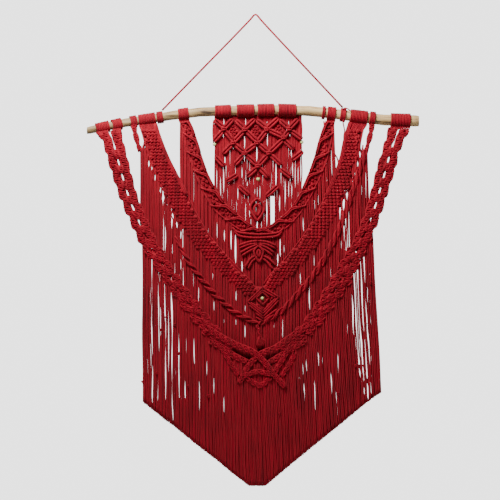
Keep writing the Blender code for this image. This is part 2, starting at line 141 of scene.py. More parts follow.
def makePiece(name, bundle, finish, nodes):
    whole = settled(bundle)
    mesh = bpy.data.meshes.new(name)
    mesh.from_pydata(whole["verts"].tolist(), [], whole["faces"].tolist())
    layer = mesh.uv_layers.new(name="cordMap")
    layer.uv.foreach_set("vector", whole["maps"].astype(np.float32).ravel())
    mesh.shade_smooth()
    mesh.materials.append(finish)
    piece = bpy.data.objects.new(name, mesh)
    bpy.context.scene.collection.objects.link(piece)
    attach(piece, "root")
    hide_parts(*nodes)
    print(f"{name}: {2 * len(mesh.polygons)} triangles")
    return piece


# Lines and where they lie. A panel's root is how far in front of the branch's middle it starts.
panels = {
    "centre": {"forward": 0.0, "settle": 40, "root": 0.0},
    "inner": {"forward": 8.5, "settle": 60, "root": 6.0},
    "middle": {"forward": 18.5, "settle": 70, "root": 6.0},
    "outer": {"forward": 29.5, "settle": 120, "root": 6.0},
}
branchDrop = 275.0


def forwardAt(panel, drop):
    # A panel leaves the branch close under it and eases out to its own depth.
    sizes = panels[panel]
    share = np.clip((drop - branchDrop) / sizes["settle"], 0, 1)
    ease = share * share * (3 - 2 * share)
    return sizes["root"] + ease * (sizes["forward"] - sizes["root"])


def softLine(rows, step=2.0):
    # A soft line through rows of across, drop and perhaps width.
    rows = np.array(rows, float)
    ends = np.vstack((2 * rows[0] - rows[1], rows, 2 * rows[-1] - rows[-2]))
    points = [rows[:1]]
    for before, start, stop, after in zip(ends, ends[1:], ends[2:], ends[3:]):
        count = max(1, round(np.linalg.norm((stop - start)[:2]) / step))
        t = (np.arange(1, count + 1) / count)[:, None]
        points.append(0.5 * (2 * start + t * (stop - before)
                             + t ** 2 * (2 * before - 5 * start + 4 * stop - after)
                             + t ** 3 * (3 * start - before - 3 * stop + after)))
    points = np.vstack(points)
    along = np.concatenate(([0.0], np.cumsum(np.linalg.norm(np.diff(points[:, :2], axis=0), axis=1))))
    heading = np.gradient(points[:, :2], along, axis=0)
    heading /= np.linalg.norm(heading, axis=1)[:, None]
    width = points[:, 2] if points.shape[1] > 2 else np.zeros(len(points))
    return {"along": along, "points": points, "heading": heading, "width": width, "length": along[-1]}


def read(line, along):
    # Across, drop, heading and width at distances along a line.
    at = [np.interp(along, line["along"], line["points"][:, column]) for column in (0, 1)]
    heading = [np.interp(along, line["along"], line["heading"][:, column]) for column in (0, 1)]
    return at[0], at[1], heading[0], heading[1], np.interp(along, line["along"], line["width"])


def onLine(line, along, side, out, panel, level=0.0):
    # Points in metres beside a line and out in front of it. Level turns that side towards the horizontal.
    across, drop, headAcross, headDrop, _ = read(line, along)
    across = across + side * ((1 - level) * headDrop + level / np.maximum(headDrop, 0.5))
    drop = drop - side * headAcross * (1 - level)
    return np.column_stack((across * mm, -(forwardAt(panel, drop) + out) * mm, -drop * mm))


# Finishes.
def newFinish(name, roughness):
    finish = bpy.data.materials.new(name)
    finish.use_nodes = True
    tree = finish.node_tree
    shader = tree.nodes["Principled BSDF"]
    shader.inputs["Roughness"].default_value = roughness
    return finish, tree, shader


def node(tree, kind, **values):
    made = tree.nodes.new(kind)
    for key, value in values.items():
        if hasattr(made, key):
            setattr(made, key, value)
        else:
            made.inputs[key].default_value = value
    return made


def noiseAt(tree, place, **values):
    made = node(tree, "ShaderNodeTexNoise", **values)
    tree.links.new(place, made.inputs["Vector"])
    return made.outputs["Fac"]


def drawnOut(tree, place, scale):
    # The place scaled differently each way, so that a pattern is drawn out.
    made = node(tree, "ShaderNodeMapping")
    made.inputs["Scale"].default_value = scale
    tree.links.new(place, made.inputs["Vector"])
    return made.outputs[0]


def worked(tree, operation, value, constant, added=None):
    # A value and a constant, and with MULTIPLY_ADD one more value.
    made = node(tree, "ShaderNodeMath", operation=operation)
    made.inputs[1].default_value = constant
    tree.links.new(value, made.inputs[0])
    if added is not None:
        tree.links.new(added, made.inputs[2])
    return made.outputs[0]


def coloured(tree, value, stops, colours):
    # The colours at their stops, from the first to the last.
    ramp = node(tree, "ShaderNodeValToRGB")
    elements = ramp.color_ramp.elements
    for element, stop, colour in ((elements[0], stops[0], colours[0]), (elements[1], stops[-1], colours[-1])):
        element.position, element.color = stop, (*colour, 1.0)
    for stop, colour in zip(stops[1:-1], colours[1:-1]):
        elements.new(stop).color = (*colour, 1.0)
    tree.links.new(value, ramp.inputs["Fac"])
    return ramp.outputs["Color"]


def addBump(tree, shader, height, sizes):
    bump = node(tree, "ShaderNodeBump", Strength=sizes["bumpStrength"], Distance=sizes["bumpHeight"])
    tree.links.new(height, bump.inputs["Height"])
    tree.links.new(bump.outputs["Normal"], shader.inputs["Normal"])


def cottonFinish():
    # Twisted cotton: slanting plies from the cord's own map with painted shade in the grooves between them,
    # fine fibres and uneven dye.
    finish, tree, shader = newFinish("redCotton", cotton["roughness"])
    shader.inputs["Sheen Weight"].default_value = cotton["sheen"]
    shader.inputs["Sheen Tint"].default_value = (*cotton["sheenTint"], 1.0)
    shader.inputs["Specular IOR Level"].default_value = cotton["shine"]
    cordMap = node(tree, "ShaderNodeUVMap", uv_map="cordMap")
    parts = node(tree, "ShaderNodeSeparateXYZ")
    tree.links.new(cordMap.outputs["UV"], parts.inputs[0])
    place = node(tree, "ShaderNodeTexCoord").outputs["Object"]
    turns = worked(tree, "MULTIPLY", parts.outputs["X"], cotton["plies"] * 1000 / cotton["twist"])
    slant = worked(tree, "MULTIPLY_ADD", parts.outputs["Y"], cotton["plies"], turns)
    ply = worked(tree, "POWER", worked(tree, "PINGPONG", slant, 0.5), cotton["plyShape"])
    fibres = noiseAt(tree, place, Scale=cotton["fibres"], Detail=2.0)
    addBump(tree, shader, worked(tree, "MULTIPLY_ADD", fibres, cotton["fibreHeight"], ply), cotton)
    dye = noiseAt(tree, place, Scale=cotton["dyePatches"], Detail=4.0)
    streaks = noiseAt(tree, drawnOut(tree, place, cotton["streaks"]), Scale=1.0, Detail=2.0)
    faded = worked(tree, "MULTIPLY", dye, cotton["dyeShade"])
    uneven = worked(tree, "MULTIPLY_ADD", streaks, cotton["streakShade"], faded)
    # Painted shade: the grooves between the plies are coloured towards the deep red.
    shade = worked(tree, "MULTIPLY_ADD", ply, cotton["plyPaintedShade"], uneven)
    colour = coloured(tree, worked(tree, "MULTIPLY", shade, cotton["level"]), cotton["stops"],
                      (cotton["deepRed"], cotton["red"]))
    tree.links.new(colour, shader.inputs["Base Color"])
    return finish


branchWood = {
    "dark": (0.07, 0.033, 0.012),
    "tan": (0.42, 0.25, 0.095),
    "pale": (0.66, 0.45, 0.20),
    "stops": (0.535, 0.62, 0.82),    # where the grain is dark, tan and pale
    "grain": (9.0, 120.0, 120.0),
    "patches": 18.0,
    "patchShade": 0.45,
    "leftTone": 0.48,                # the left end is this much darker than the right
    "toneFrom": -0.42,
    "toneTo": 0.2,
    "bumpStrength": 0.7,
    "bumpHeight": 0.0016,
    "roughness": 0.62,
}


def branchFinish():
    # Peeled wood: grain drawn out along the branch, dark splits and uneven patches.
    finish, tree, shader = newFinish("peeledWood", branchWood["roughness"])
    place = node(tree, "ShaderNodeTexCoord").outputs["Object"]
    grain = noiseAt(tree, drawnOut(tree, place, branchWood["grain"]),
                    Scale=1.0, Detail=8.0, Roughness=0.65, Distortion=0.6)
    patches = noiseAt(tree, place, Scale=branchWood["patches"], Detail=3.0)
    mixed = worked(tree, "MULTIPLY_ADD", patches, branchWood["patchShade"], grain)
    wood = coloured(tree, mixed, branchWood["stops"],
                    (branchWood["dark"], branchWood["tan"], branchWood["pale"]))
    parts = node(tree, "ShaderNodeSeparateXYZ")
    tree.links.new(place, parts.inputs[0])
    tone = node(tree, "ShaderNodeMapRange")
    tone.inputs["From Min"].default_value = branchWood["toneFrom"]
    tone.inputs["From Max"].default_value = branchWood["toneTo"]
    tone.inputs["To Min"].default_value = branchWood["leftTone"]
    tone.inputs["To Max"].default_value = 1.0
    tree.links.new(parts.outputs["X"], tone.inputs["Value"])
    toned = node(tree, "ShaderNodeVectorMath", operation="SCALE")
    tree.links.new(wood, toned.inputs[0])
    tree.links.new(tone.outputs[0], toned.inputs["Scale"])
    tree.links.new(toned.outputs[0], shader.inputs["Base Color"])
    addBump(tree, shader, grain, branchWood)
    return finish


beadWood = {
    "dark": (0.47, 0.50, 0.17),
    "pale": (0.62, 0.72, 0.27),
    "stops": (0.0, 0.5),
    "rings": 60.0,
    "roughness": 0.4,
}


def beadFinish():
    finish, tree, shader = newFinish("beadWood", beadWood["roughness"])
    place = node(tree, "ShaderNodeTexCoord")
    rings = node(tree, "ShaderNodeTexWave", Scale=beadWood["rings"], Distortion=4.0, Detail=3.0)
    tree.links.new(place.outputs["Object"], rings.inputs["Vector"])
    colour = coloured(tree, rings.outputs["Fac"], beadWood["stops"], (beadWood["dark"], beadWood["pale"]))
    tree.links.new(colour, shader.inputs["Base Color"])
    return finish


redCotton = cottonFinish()

# The branch. Rows: across, drop, radius.
branch = {
    "rows": (
        (-455, 315, 10.3), (-352, 294, 12.4), (-231, 275, 12.5), (-150, 265, 13.2), (-58, 261, 13.0),
        (53, 259, 13.5), (147, 262, 14.0), (247, 274, 14.6), (344, 286, 15.3), (441, 289, 15.8),
    ),
    "sides": 36,
    "rings": 96,
    "smoothAngle": 40,
    "endRings": (0.12, 0.3),     # insets of the two ends
    "within": 0.3,               # how far the wood lies inside those radii
    "lumpHeight": 0.9,
    "lumpLevel": 0.35,
    "lumpsAlong": 0.03,
    "lumpsRound": 1.1,
    "endRound": 1.2,             # how far the ends are rounded off, and from where
    "endLength": 2.5,
    # Knots in the wood: across, angle round the branch from its front, width, height.
    "knots": ((-218, 0.3, 11, 1.6), (-345, -0.6, 9, 1.2), (150, 0.8, 9, 0.9), (318, -0.5, 8, 0.8)),
    "knotHollow": 0.7,           # how deep the middle of a knot is, and how narrow
    "knotNarrow": 9,
}
branchTable = np.array(branch["rows"], float)


def branchAt(across):
    return (np.interp(across, branchTable[:, 0], branchTable[:, 1]),
            np.interp(across, branchTable[:, 0], branchTable[:, 2]))


def finishPiece(piece, name, material, nodes):
    piece.name = piece.data.name = name
    bpy.ops.object.transform_apply(location=True, rotation=True, scale=True)
    piece.data.materials.clear()
    piece.data.materials.append(material)
    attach(piece, "root")
    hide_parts(*nodes)


def makeBranch():
    bpy.ops.object.select_all(action="DESELECT")
    bpy.ops.mesh.primitive_cylinder_add(
        vertices=branch["sides"], radius=1.0, depth=1.0, rotation=(0, math.pi / 2, 0),
    )
    piece = bpy.context.object
    bpy.ops.object.transform_apply(rotation=True)
    bpy.ops.object.mode_set(mode="EDIT")
    bpy.ops.mesh.select_mode(type="EDGE")
    bpy.ops.mesh.select_all(action="DESELECT")
    shape = bmesh.from_edit_mesh(piece.data)
    for edge in shape.edges:
        edge.select = abs(edge.verts[0].co.x - edge.verts[1].co.x) > 0.5
    bmesh.update_edit_mesh(piece.data)
    bpy.ops.mesh.subdivide(number_cuts=branch["rings"])
    bpy.ops.mesh.select_mode(type="FACE")
    bpy.ops.mesh.select_all(action="DESELECT")
    shape = bmesh.from_edit_mesh(piece.data)
    for face in shape.faces:
        face.select = abs(face.normal.x) > 0.9
    bmesh.update_edit_mesh(piece.data)
    for thickness in branch["endRings"]:
        bpy.ops.mesh.inset(thickness=thickness, depth=0.0)
    shape = bmesh.from_edit_mesh(piece.data)
    first, last = branchTable[0, 0], branchTable[-1, 0]
    for vert in shape.verts:
        share = vert.co.x + 0.5
        across = first + share * (last - first)
        drop, radius = branchAt(across)
        spread = math.hypot(vert.co.y, vert.co.z)
        angle = math.atan2(vert.co.z, -vert.co.y)
        lump = noise.noise(Vector((across * branch["lumpsAlong"], math.cos(angle) * branch["lumpsRound"],
                                   math.sin(angle) * branch["lumpsRound"])))
        reach = radius - branch["within"] + branch["lumpHeight"] * (lump - branch["lumpLevel"])
        for place, side, width, height in branch["knots"]:
            near = ((across - place) / width) ** 2 + ((angle - side) * radius / width) ** 2
            hollow = branch["knotHollow"] * math.exp(-near * branch["knotNarrow"])
            reach += height * math.exp(-near) * (1 - hollow)
        end = min(share, 1 - share) * (last - first)
        reach -= branch["endRound"] * max(0.0, 1 - end / branch["endLength"])
        inward = branch["endRound"] * (1 - spread) if spread < 0.95 else 0.0
        vert.co.x = (across + (inward if share < 0.5 else -inward)) * mm
        vert.co.y = -math.cos(angle) * reach * spread * mm
        vert.co.z = (math.sin(angle) * reach * spread - drop) * mm
    bmesh.update_edit_mesh(piece.data)
    bpy.ops.object.mode_set(mode="OBJECT")
    bpy.ops.object.shade_smooth_by_angle(angle=math.radians(branch["smoothAngle"]))
    finishPiece(piece, "peeled_branch", branchFinish(), ["branch"])
    print("branch made")


makeBranch()

# Cord wound on the branch. Ranges: across from, across to, lean.
wraps = {
    "clearance": 0.3,
    "uneven": (-0.15, 0.25),
    "cord": 4.4,
    "points": 24,
    "slopeReach": 5,         # the branch's slope is read this far to each side
    "outer": ((-431, -395, 2.0), (-388, -362, 4.0), (365, 418, 0.0)),
    "middle": ((-339, -321, 3.0), (-315, -270, 0.0), (256, 302, 0.0), (308, 323, 0.0)),
    "inner": ((-208, -180, 0.0), (180, 188, 0.0), (194, 216, 0.0)),
    "centre": ((-109, -66, 0.0), (-51, -4, 1.0), (5, 50, 1.5), (61, 109, 1.5)),
    "tieLeft": ((-266, -249.5, 0.0),),
    "tieRight": ((229, 243, 0.0),),
}


def addWraps(bundle, ranges):
    # Turns side by side.
    for start, stop, lean in ranges:
        count = round((stop - start) / cotton["thickness"])
        for index in range(count):
            across = start + (index + 0.5) * (stop - start) / count
            drop, radius = branchAt(across)
            ahead, behind = (branchAt(across + side * wraps["slopeReach"])[0] for side in (1, -1))
            slope = (ahead - behind) / (2 * wraps["slopeReach"])
            reach = radius + wraps["clearance"] + cotton["thickness"] / 2 + chance.uniform(*wraps["uneven"])
            angle = np.arange(wraps["points"]) * 2 * math.pi / wraps["points"]
            up = reach * np.sin(angle)
            points = np.column_stack((
                across + up * slope + lean * np.cos(angle), -reach * np.cos(angle), up - drop,
            ))
            addTube(bundle, points * mm, wraps["cord"] / 2 * mm, closed=True)


fan = {
    "tuck": 1.0,             # how far up behind the wraps its cords start
    "points": 7,
    "out": 1.2,              # how far they lie in front of one another
    "spread": 2.4,
}


def addFan(bundle, panel, top, line, along, sides, count):
    # Cords from the wraps gather into a line, spread over its width at this distance along it.
    at = read(line, np.array([along]))
    t = np.linspace(0, 1, fan["points"])
    ease = t * t * (3 - 2 * t)
    for index in range(count):
        share = index / max(count - 1, 1)
        across = top[0] + share * (top[1] - top[0])
        drop, radius = branchAt(across)
        start = drop + radius - fan["tuck"]
        side = sides[0] + share * (sides[1] - sides[0])
        foot = (at[0][0] + side * at[3][0], at[1][0] - side * at[2][0])
        x = across + ease * (foot[0] - across)
        z = start + t * (foot[1] - start)
        y = -(forwardAt(panel, z) + fan["out"] * math.sin(index * fan["spread"]) * t)
        addTube(bundle, np.column_stack((x, y, -z)) * mm)


# Knots.
sinnet = {
    "edge": 0.9,             # room at the edges
    "sharpness": 0.16,       # lower turns the cords more sharply at the edges
    "pairGap": 1.95,         # spacing of a pair's cords, in radii
    "inner": 0.1,            # how much less a pair's second cord swings
    "front": (0.1, 0.9),     # how far out the front pair is at the edges, and what its middle adds
    "back": (0.85, -1.8),    # the same for the pair behind
    "fillerStep": 9,
    "fillerWidth": 1.12,
    "fillerEdge": 0.2,
    "fillerOut": -0.3,
    "fillerUneven": 0.5,
}


def squareSinnet(bundle, line, panel, sizes, middle=0.0, half=None, out=0.0, start=0.0, stop=None):
    # Square knots one under the other. One pair of cords zigzags over the front, and the other
    # pair crosses behind and comes over it at the edges. Straight cords fill the middle.
    stop = line["length"] if stop is None else stop
    count = max(6, int((stop - start) / sizes["knot"] * sizes["points"]))
    along = np.linspace(start, stop, count)
    radius, cords, depth, level = sizes["radius"], sizes["cords"], sizes["depth"], sizes.get("level", 0.0)
    half = (read(line, along)[4] / 2 if half is None else half(along)) - sinnet["edge"]
    middle = middle(along) if callable(middle) else np.full(count, middle)
    turn = 2 * math.pi * along / sizes["knot"] + sizes.get("phase", 0.0)
    wide = np.sin(turn)
    swing = wide / np.sqrt(wide ** 2 + sinnet["sharpness"] * np.cos(turn) ** 2)
    rise = 1 - swing ** 2
    for number in range(cords):
        nudge = (number - (cords - 1) / 2) * sinnet["pairGap"] * radius
        reach = swing * (half - radius) * (1.0 - sinnet["inner"] * number)
        for side, (edge, more) in ((1, sinnet["front"]), (-1, sinnet["back"])):
            forward = depth * (edge + more * rise) + out
            points = onLine(line, along + nudge, middle + side * reach, forward, panel, level)
            addTube(bundle, points, radius * mm)
    fillers = sizes["fillers"]
    steps = np.linspace(start, stop, max(3, int((stop - start) / sinnet["fillerStep"])))
    room = half - radius * sinnet["fillerEdge"]
    for number in range(fillers):
        share = (number + 0.5) / fillers * 2 - 1
        place = np.interp(steps, along, middle + share * room)
        fill = np.interp(steps, along, room) / fillers * sinnet["fillerWidth"]
        forward = out + sinnet["fillerOut"] + sinnet["fillerUneven"] * (-1) ** number
        addTube(bundle, onLine(line, steps, place, forward, panel, level), fill * mm)


def rope(bundle, line, panel, sizes):
    # Half knots one under the other turn of themselves, so pairs of cords wind round a straight core.
    along = np.linspace(0, line["length"], int(line["length"] / sizes["step"]))
    width = read(line, along)[4]
    reach = width / 2 - sizes["radius"]
    for number in range(sizes["strands"]):
        for pair in (-0.5, 0.5):
            shifted = (along + pair * sizes["pairGap"]) / sizes["pitch"]
            turn = 2 * math.pi * (shifted + number / sizes["strands"])
            nubs = np.sin(2 * math.pi * along / sizes["nubLength"] + number * sizes["nubShift"] + pair)
            side = reach * np.sin(turn) * (1 + sizes["nubs"] * nubs)
            out = (sizes["out"] + sizes["swing"] * np.cos(turn)) * reach
            addTube(bundle, onLine(line, along, side, out, panel), sizes["radius"] * mm)
    steps = np.linspace(0, line["length"], int(line["length"] / sizes["coreStep"]))
    for number in range(sizes["core"]):
        share = (number + 0.5) / sizes["core"] * 2 - 1
        spread = share * (np.interp(steps, along, width) / 2 - sizes["coreEdge"])
        addTube(bundle, onLine(line, steps, spread, 0.0, panel), sizes["coreRadius"] * mm)


hitches = {
    # What is left at a row's ends of the coil's reach, its place beside the bar, its cord and its core.
    "coilEnd": 0.35,
    "sideEnd": 0.4,
    "cordEnd": 0.7,
    "coreEnd": 0.45,
    "coreFill": 0.75,        # how far the core fills the coil's cord
    "coreStep": 5,
    "coreSides": 8,
}


def hitchRow(bundle, panel, rows, sizes, out=0.0, side=0.0):
    # A row of half hitches: a cord turned closely round the one it is tied on, drawn to a point at its ends.
    line = softLine(rows)
    length = line["length"]
    along = np.linspace(0, length, max(8, int(length / sizes["pitch"] * sizes["points"])))
    full = 1 - (1 - np.minimum(1, np.minimum(along, length - along) / sizes["taper"])) ** 2

    def drawn(end, share=full):
        return hitches[end] + (1 - hitches[end]) * share

    turn = 2 * math.pi * along / sizes["pitch"]
    reach = sizes["reach"] * drawn("coilEnd")
    beside = side * drawn("sideEnd")
    points = onLine(line, along, beside + reach * np.sin(turn), out + reach * np.cos(turn), panel)
    addTube(bundle, points, sizes["cord"] * drawn("cordEnd") * mm)
    steps = np.linspace(0, length, max(5, int(length / hitches["coreStep"])))
    core = sizes["reach"] + hitches["coreFill"] * sizes["cord"]
    core = core * drawn("coreEnd", np.interp(steps, along, full))
    points = onLine(line, steps, np.interp(steps, along, beside), out, panel)
    addTube(bundle, points, core * mm, hitches["coreSides"])


def smoothCord(bundle, panel, rows, out=0.0, side=0.0, radius=2.0, step=7.0):
    line = softLine(rows)
    along = np.linspace(0, line["length"], max(3, int(line["length"] / step)))
    addTube(bundle, onLine(line, along, side, out, panel), radius * mm)


underlay = {"step": 9, "edge": 3, "uneven": 0.6}


def addUnderlay(bundle, panel, line, pitch, start=0.0, out=-1.2):
    # The cords that the knots are tied on, side by side along a band.
    along = np.linspace(start, line["length"], max(3, int(line["length"] / underlay["step"])))
    width = read(line, along)[4]
    count = max(2, round(line["width"].mean() / pitch))
    for index in range(count):
        side = ((index + 0.5) / count - 0.5) * (width - underlay["edge"])
        points = onLine(line, along, side, out + underlay["uneven"] * (-1) ** index, panel)
        points[:, 0] = parted(points[:, 0] / mm, -points[:, 2] / mm) * mm
        addTube(bundle, points)


latticeKnot = {
    "cord": 1.7,
    # Each cord's points: right, up, out to the front.
    "frontCord": (
        (-4.3, 4.4, -1.4), (-3.5, 3.0, 0.8), (-1.7, 1.9, 3.7), (1.7, 1.7, 3.7), (3.1, 0.8, 1.4),
        (3.1, -0.8, 1.2), (1.7, -1.7, 3.7), (-1.7, -1.9, 3.7), (-3.4, -3.0, 0.8), (-4.3, -4.4, -1.4),
    ),
    "rightLoop": ((3.6, 4.2, -1.6), (3.7, 2.2, 0.8), (3.8, 0.0, 1.8), (3.7, -2.2, 0.8), (4.0, -4.3, -1.4)),
    "leftLoop": ((-3.2, 1.9, -1.2), (-3.8, 1.2, 1.0), (-3.9, -0.6, 1.6), (-3.2, -2.2, 0.2)),
    "filler": ((0.0, 6.6, 0.0), (0.0, 0.0, -0.6), (0.0, -6.6, 0.0)),
    "fillerSide": 1.8,
    "sides": 6,
    "fillerSides": 4,
}


def knotMotif():
    bundle = newBundle()
    radius = latticeKnot["cord"] * mm
    for name in ("frontCord", "rightLoop", "leftLoop"):
        addTube(bundle, np.array(latticeKnot[name]) * mm, radius, latticeKnot["sides"])
    for side in (-1, 1):
        filler = np.array(latticeKnot["filler"])
        filler[:, 0] += side * latticeKnot["fillerSide"]
        addTube(bundle, filler * mm, radius, latticeKnot["fillerSides"])
    return settled(bundle)


knot = knotMotif()


def addKnot(bundle, panel, across, drop, tilt=0.0, size=1.0, out=0.0):
    # The knot at a place, turned clockwise by its tilt.
    right = np.array((math.cos(tilt), 0.0, -math.sin(tilt)))
    up = np.array((math.sin(tilt), 0.0, math.cos(tilt)))
    place = np.array((across * mm, -(float(forwardAt(panel, drop)) + out) * mm, -drop * mm))
    addCopy(bundle, knot, place, right, up, np.array((0.0, -1.0, 0.0)), size)


# Slits that stay open between cords: across, drop from, drop to, and a width that sets how far
# the cords beside it are pushed away.
slits = (
    (-313, 303, 315, 11), (-305, 330, 344, 11), (-298, 350, 362, 10), (-292, 371, 386, 10),
    (-287, 394, 410, 11), (-279, 411, 425, 10), (-271, 431, 447, 11), (-256, 467, 483, 11),
    (-248, 492, 508, 13), (-239, 512, 526, 10), (-223, 538, 554, 11), (-212, 562, 578, 10),
    (-201, 590, 605, 10), (296, 300, 325, 17), (288, 329, 342, 11), (286, 351, 369, 11),
    (281, 372, 388, 11), (274, 397, 410, 13), (267, 417, 432, 10), (261, 438, 457, 10), (246, 481, 494, 11),
    (238, 499, 523, 13), (228, 520, 544, 10), (-242, 567, 640, 2.8), (-224, 545, 572, 2.8),
    (-224, 602, 670, 2.1), (-212, 562, 581, 2.1), (-201, 581, 612, 2.1), (-201, 643, 708, 2.8),
    (-153, 724, 786, 2.1), (-115, 691, 726, 2.1), (-112, 761, 813, 2.8), (-128, 545, 596, 2.1),
    (-84, 576, 620, 5), (-85, 797, 858, 2.1), (-66, 576, 640, 6), (-54, 585, 690, 8), (-36, 662, 699, 6),
    (-53, 746, 775, 2.8), (-53, 812, 850, 2.8), (-28, 775, 815, 2.8), (-28, 826, 885, 2.8),
    (-272, 730, 905, 2.8), (-255, 732, 880, 2.8), (-234, 765, 1000, 2.8), (-223, 760, 900, 2.1),
    (-205, 870, 1050, 2.8), (-215, 915, 1010, 2.1), (-131, 905, 1018, 2.8), (-112, 958, 1045, 2.8),
    (-85, 1010, 1105, 2.8), (-166, 850, 960, 2.1), (-262, 960, 1050, 1.6), (73, 803, 896, 2.8),
    (67, 592, 668, 7), (77, 612, 656, 3), (60, 642, 678, 6), (50, 812, 870, 1.6), (128, 541, 593, 2.1),
    (142, 506, 537, 2.1), (166, 462, 526, 2.1), (205, 352, 437, 2.1), (286, 435, 531, 2.1),
    (297, 392, 518, 2.1), (239, 556, 627, 2.1), (231, 573, 658, 2.1), (158, 643, 693, 2.1),
    (144, 738, 804, 2.1), (120, 695, 726, 2.1), (262, 735, 866, 6), (180, 892, 969, 2.1),
    (170, 905, 960, 1.6), (275, 655, 740, 2.1), (289, 800, 930, 2.1), (301, 700, 812, 2.1),
    (247, 800, 900, 2.1), (311, 860, 1000, 1.6), (222, 880, 990, 2.1), (205, 935, 1040, 2.1),
    (160, 985, 1080, 2.1), (112, 1010, 1090, 1.6), (-150, 985, 1080, 1.6), (-190, 975, 1060, 2.1),
    (-85, 284, 302, 3), (-27, 284, 299, 3), (31, 288, 299, 3), (89, 288, 298, 2), (-97, 308, 320, 3),
    (-87, 321, 333, 3), (-29, 321, 366, 4), (32, 320, 363, 4), (93, 321, 333, 3), (56, 340, 347, 3),
    (-60, 355, 369, 3), (4, 357, 400, 5), (68, 347, 354, 3), (-82, 383, 406, 3), (-30, 386, 395, 3),
    (37, 387, 395, 3), (96, 369, 386, 2), (-36, 416, 445, 3), (-53, 416, 426, 4), (56, 405, 464, 4),
    (-86, 413, 492, 4), (-95, 432, 497, 2), (99, 402, 432, 2), (-48, 463, 507, 3), (-22, 447, 470, 3),
    (-16, 503, 557, 3), (-27, 497, 563, 2), (-2, 460, 498, 2), (5, 462, 504, 2), (12, 463, 498, 2),
    (4, 556, 588, 4), (16, 553, 585, 2), (31, 496, 578, 3), (45, 493, 571, 8), (64, 494, 529, 2),
    (81, 447, 513, 2), (89, 444, 501, 2), (98, 450, 498, 2), (107, 401, 482, 2), (115, 397, 470, 2),
    (123, 394, 451, 2), (-105, 410, 482, 2),
)

# A slit pushes cords that are near it by a share of its width and a little for the cord. Knots keep
# out of the room round it.
parting = {"near": 16, "share": 0.25, "cord": 1.65, "roundness": 0.5, "room": 3.5}


def parted(across, drop, openings=slits):
    # Pushes a cord's points aside where a slit is open beside it.
    for place, start, stop, width in openings:
        if drop.min() > stop or drop.max() < start:
            continue
        inside = np.clip((drop - start) / (stop - start), 0, 1)
        away = across - place
        near = (inside > 0) & (inside < 1) & (np.abs(away) < parting["near"])
        if near.any():
            side = 1.0 if away[near].mean() >= 0 else -1.0
            reach = parting["share"] * width + parting["cord"]
            reach = reach * np.sin(math.pi * inside) ** parting["roundness"]
            across = across + side * np.where(near, (away ** 4 + reach ** 4) ** 0.25 - np.abs(away), 0.0)
    return across


def isOpen(across, drop):
    room = parting["room"]
    return any(abs(across - place) < width / 2 + room and start - room < drop < stop + room
               for place, start, stop, width in slits)


fineSlit = {"below": 25, "above": 35, "room": 60, "length": (60, 170), "width": (-1.2, 0.4)}


def fineSlits(areas, roots, feet):
    # Narrow slits by chance, clear of the bands: across from and to, how many.
    made = ()
    for left, right, count in areas:
        for _ in range(count):
            across = chance.uniform(left, right)
            high = np.interp(across, roots[:, 0], roots[:, 1]) + fineSlit["below"]
            low = np.interp(across, feet[:, 0], feet[:, 1]) - fineSlit["above"]
            start = chance.uniform(high, max(high + 1, low - fineSlit["room"]))
            stop = min(low, start + chance.uniform(*fineSlit["length"]))
            made += ((across, start, stop, chance.uniform(*fineSlit["width"])),)
    return made


# How all the hanging cords lie. A wave with a larger number is longer.
hang = {
    "spacing": 0.97,         # of the cords in a group, in cords
    "uneven": 0.15,
    "out": 1.0,              # how far a group, and each cord in it, lies in front or behind
    "calm": 60,              # a cord is straight where it leaves the band, and waves fully this far down
    "wave": 47,
    "waveDrift": 0.045,      # how the wave shifts from cord to cord
    "groupWave": (35, 80),
    "ownWave": (14, 30),
    "sway": 0.6,
    "swayWave": (25, 60),
    "missing": 0.36,         # share of the single cords that are missing where it is sparse
    "shortest": 8,
    "anyTurn": (0, 6.3),
}


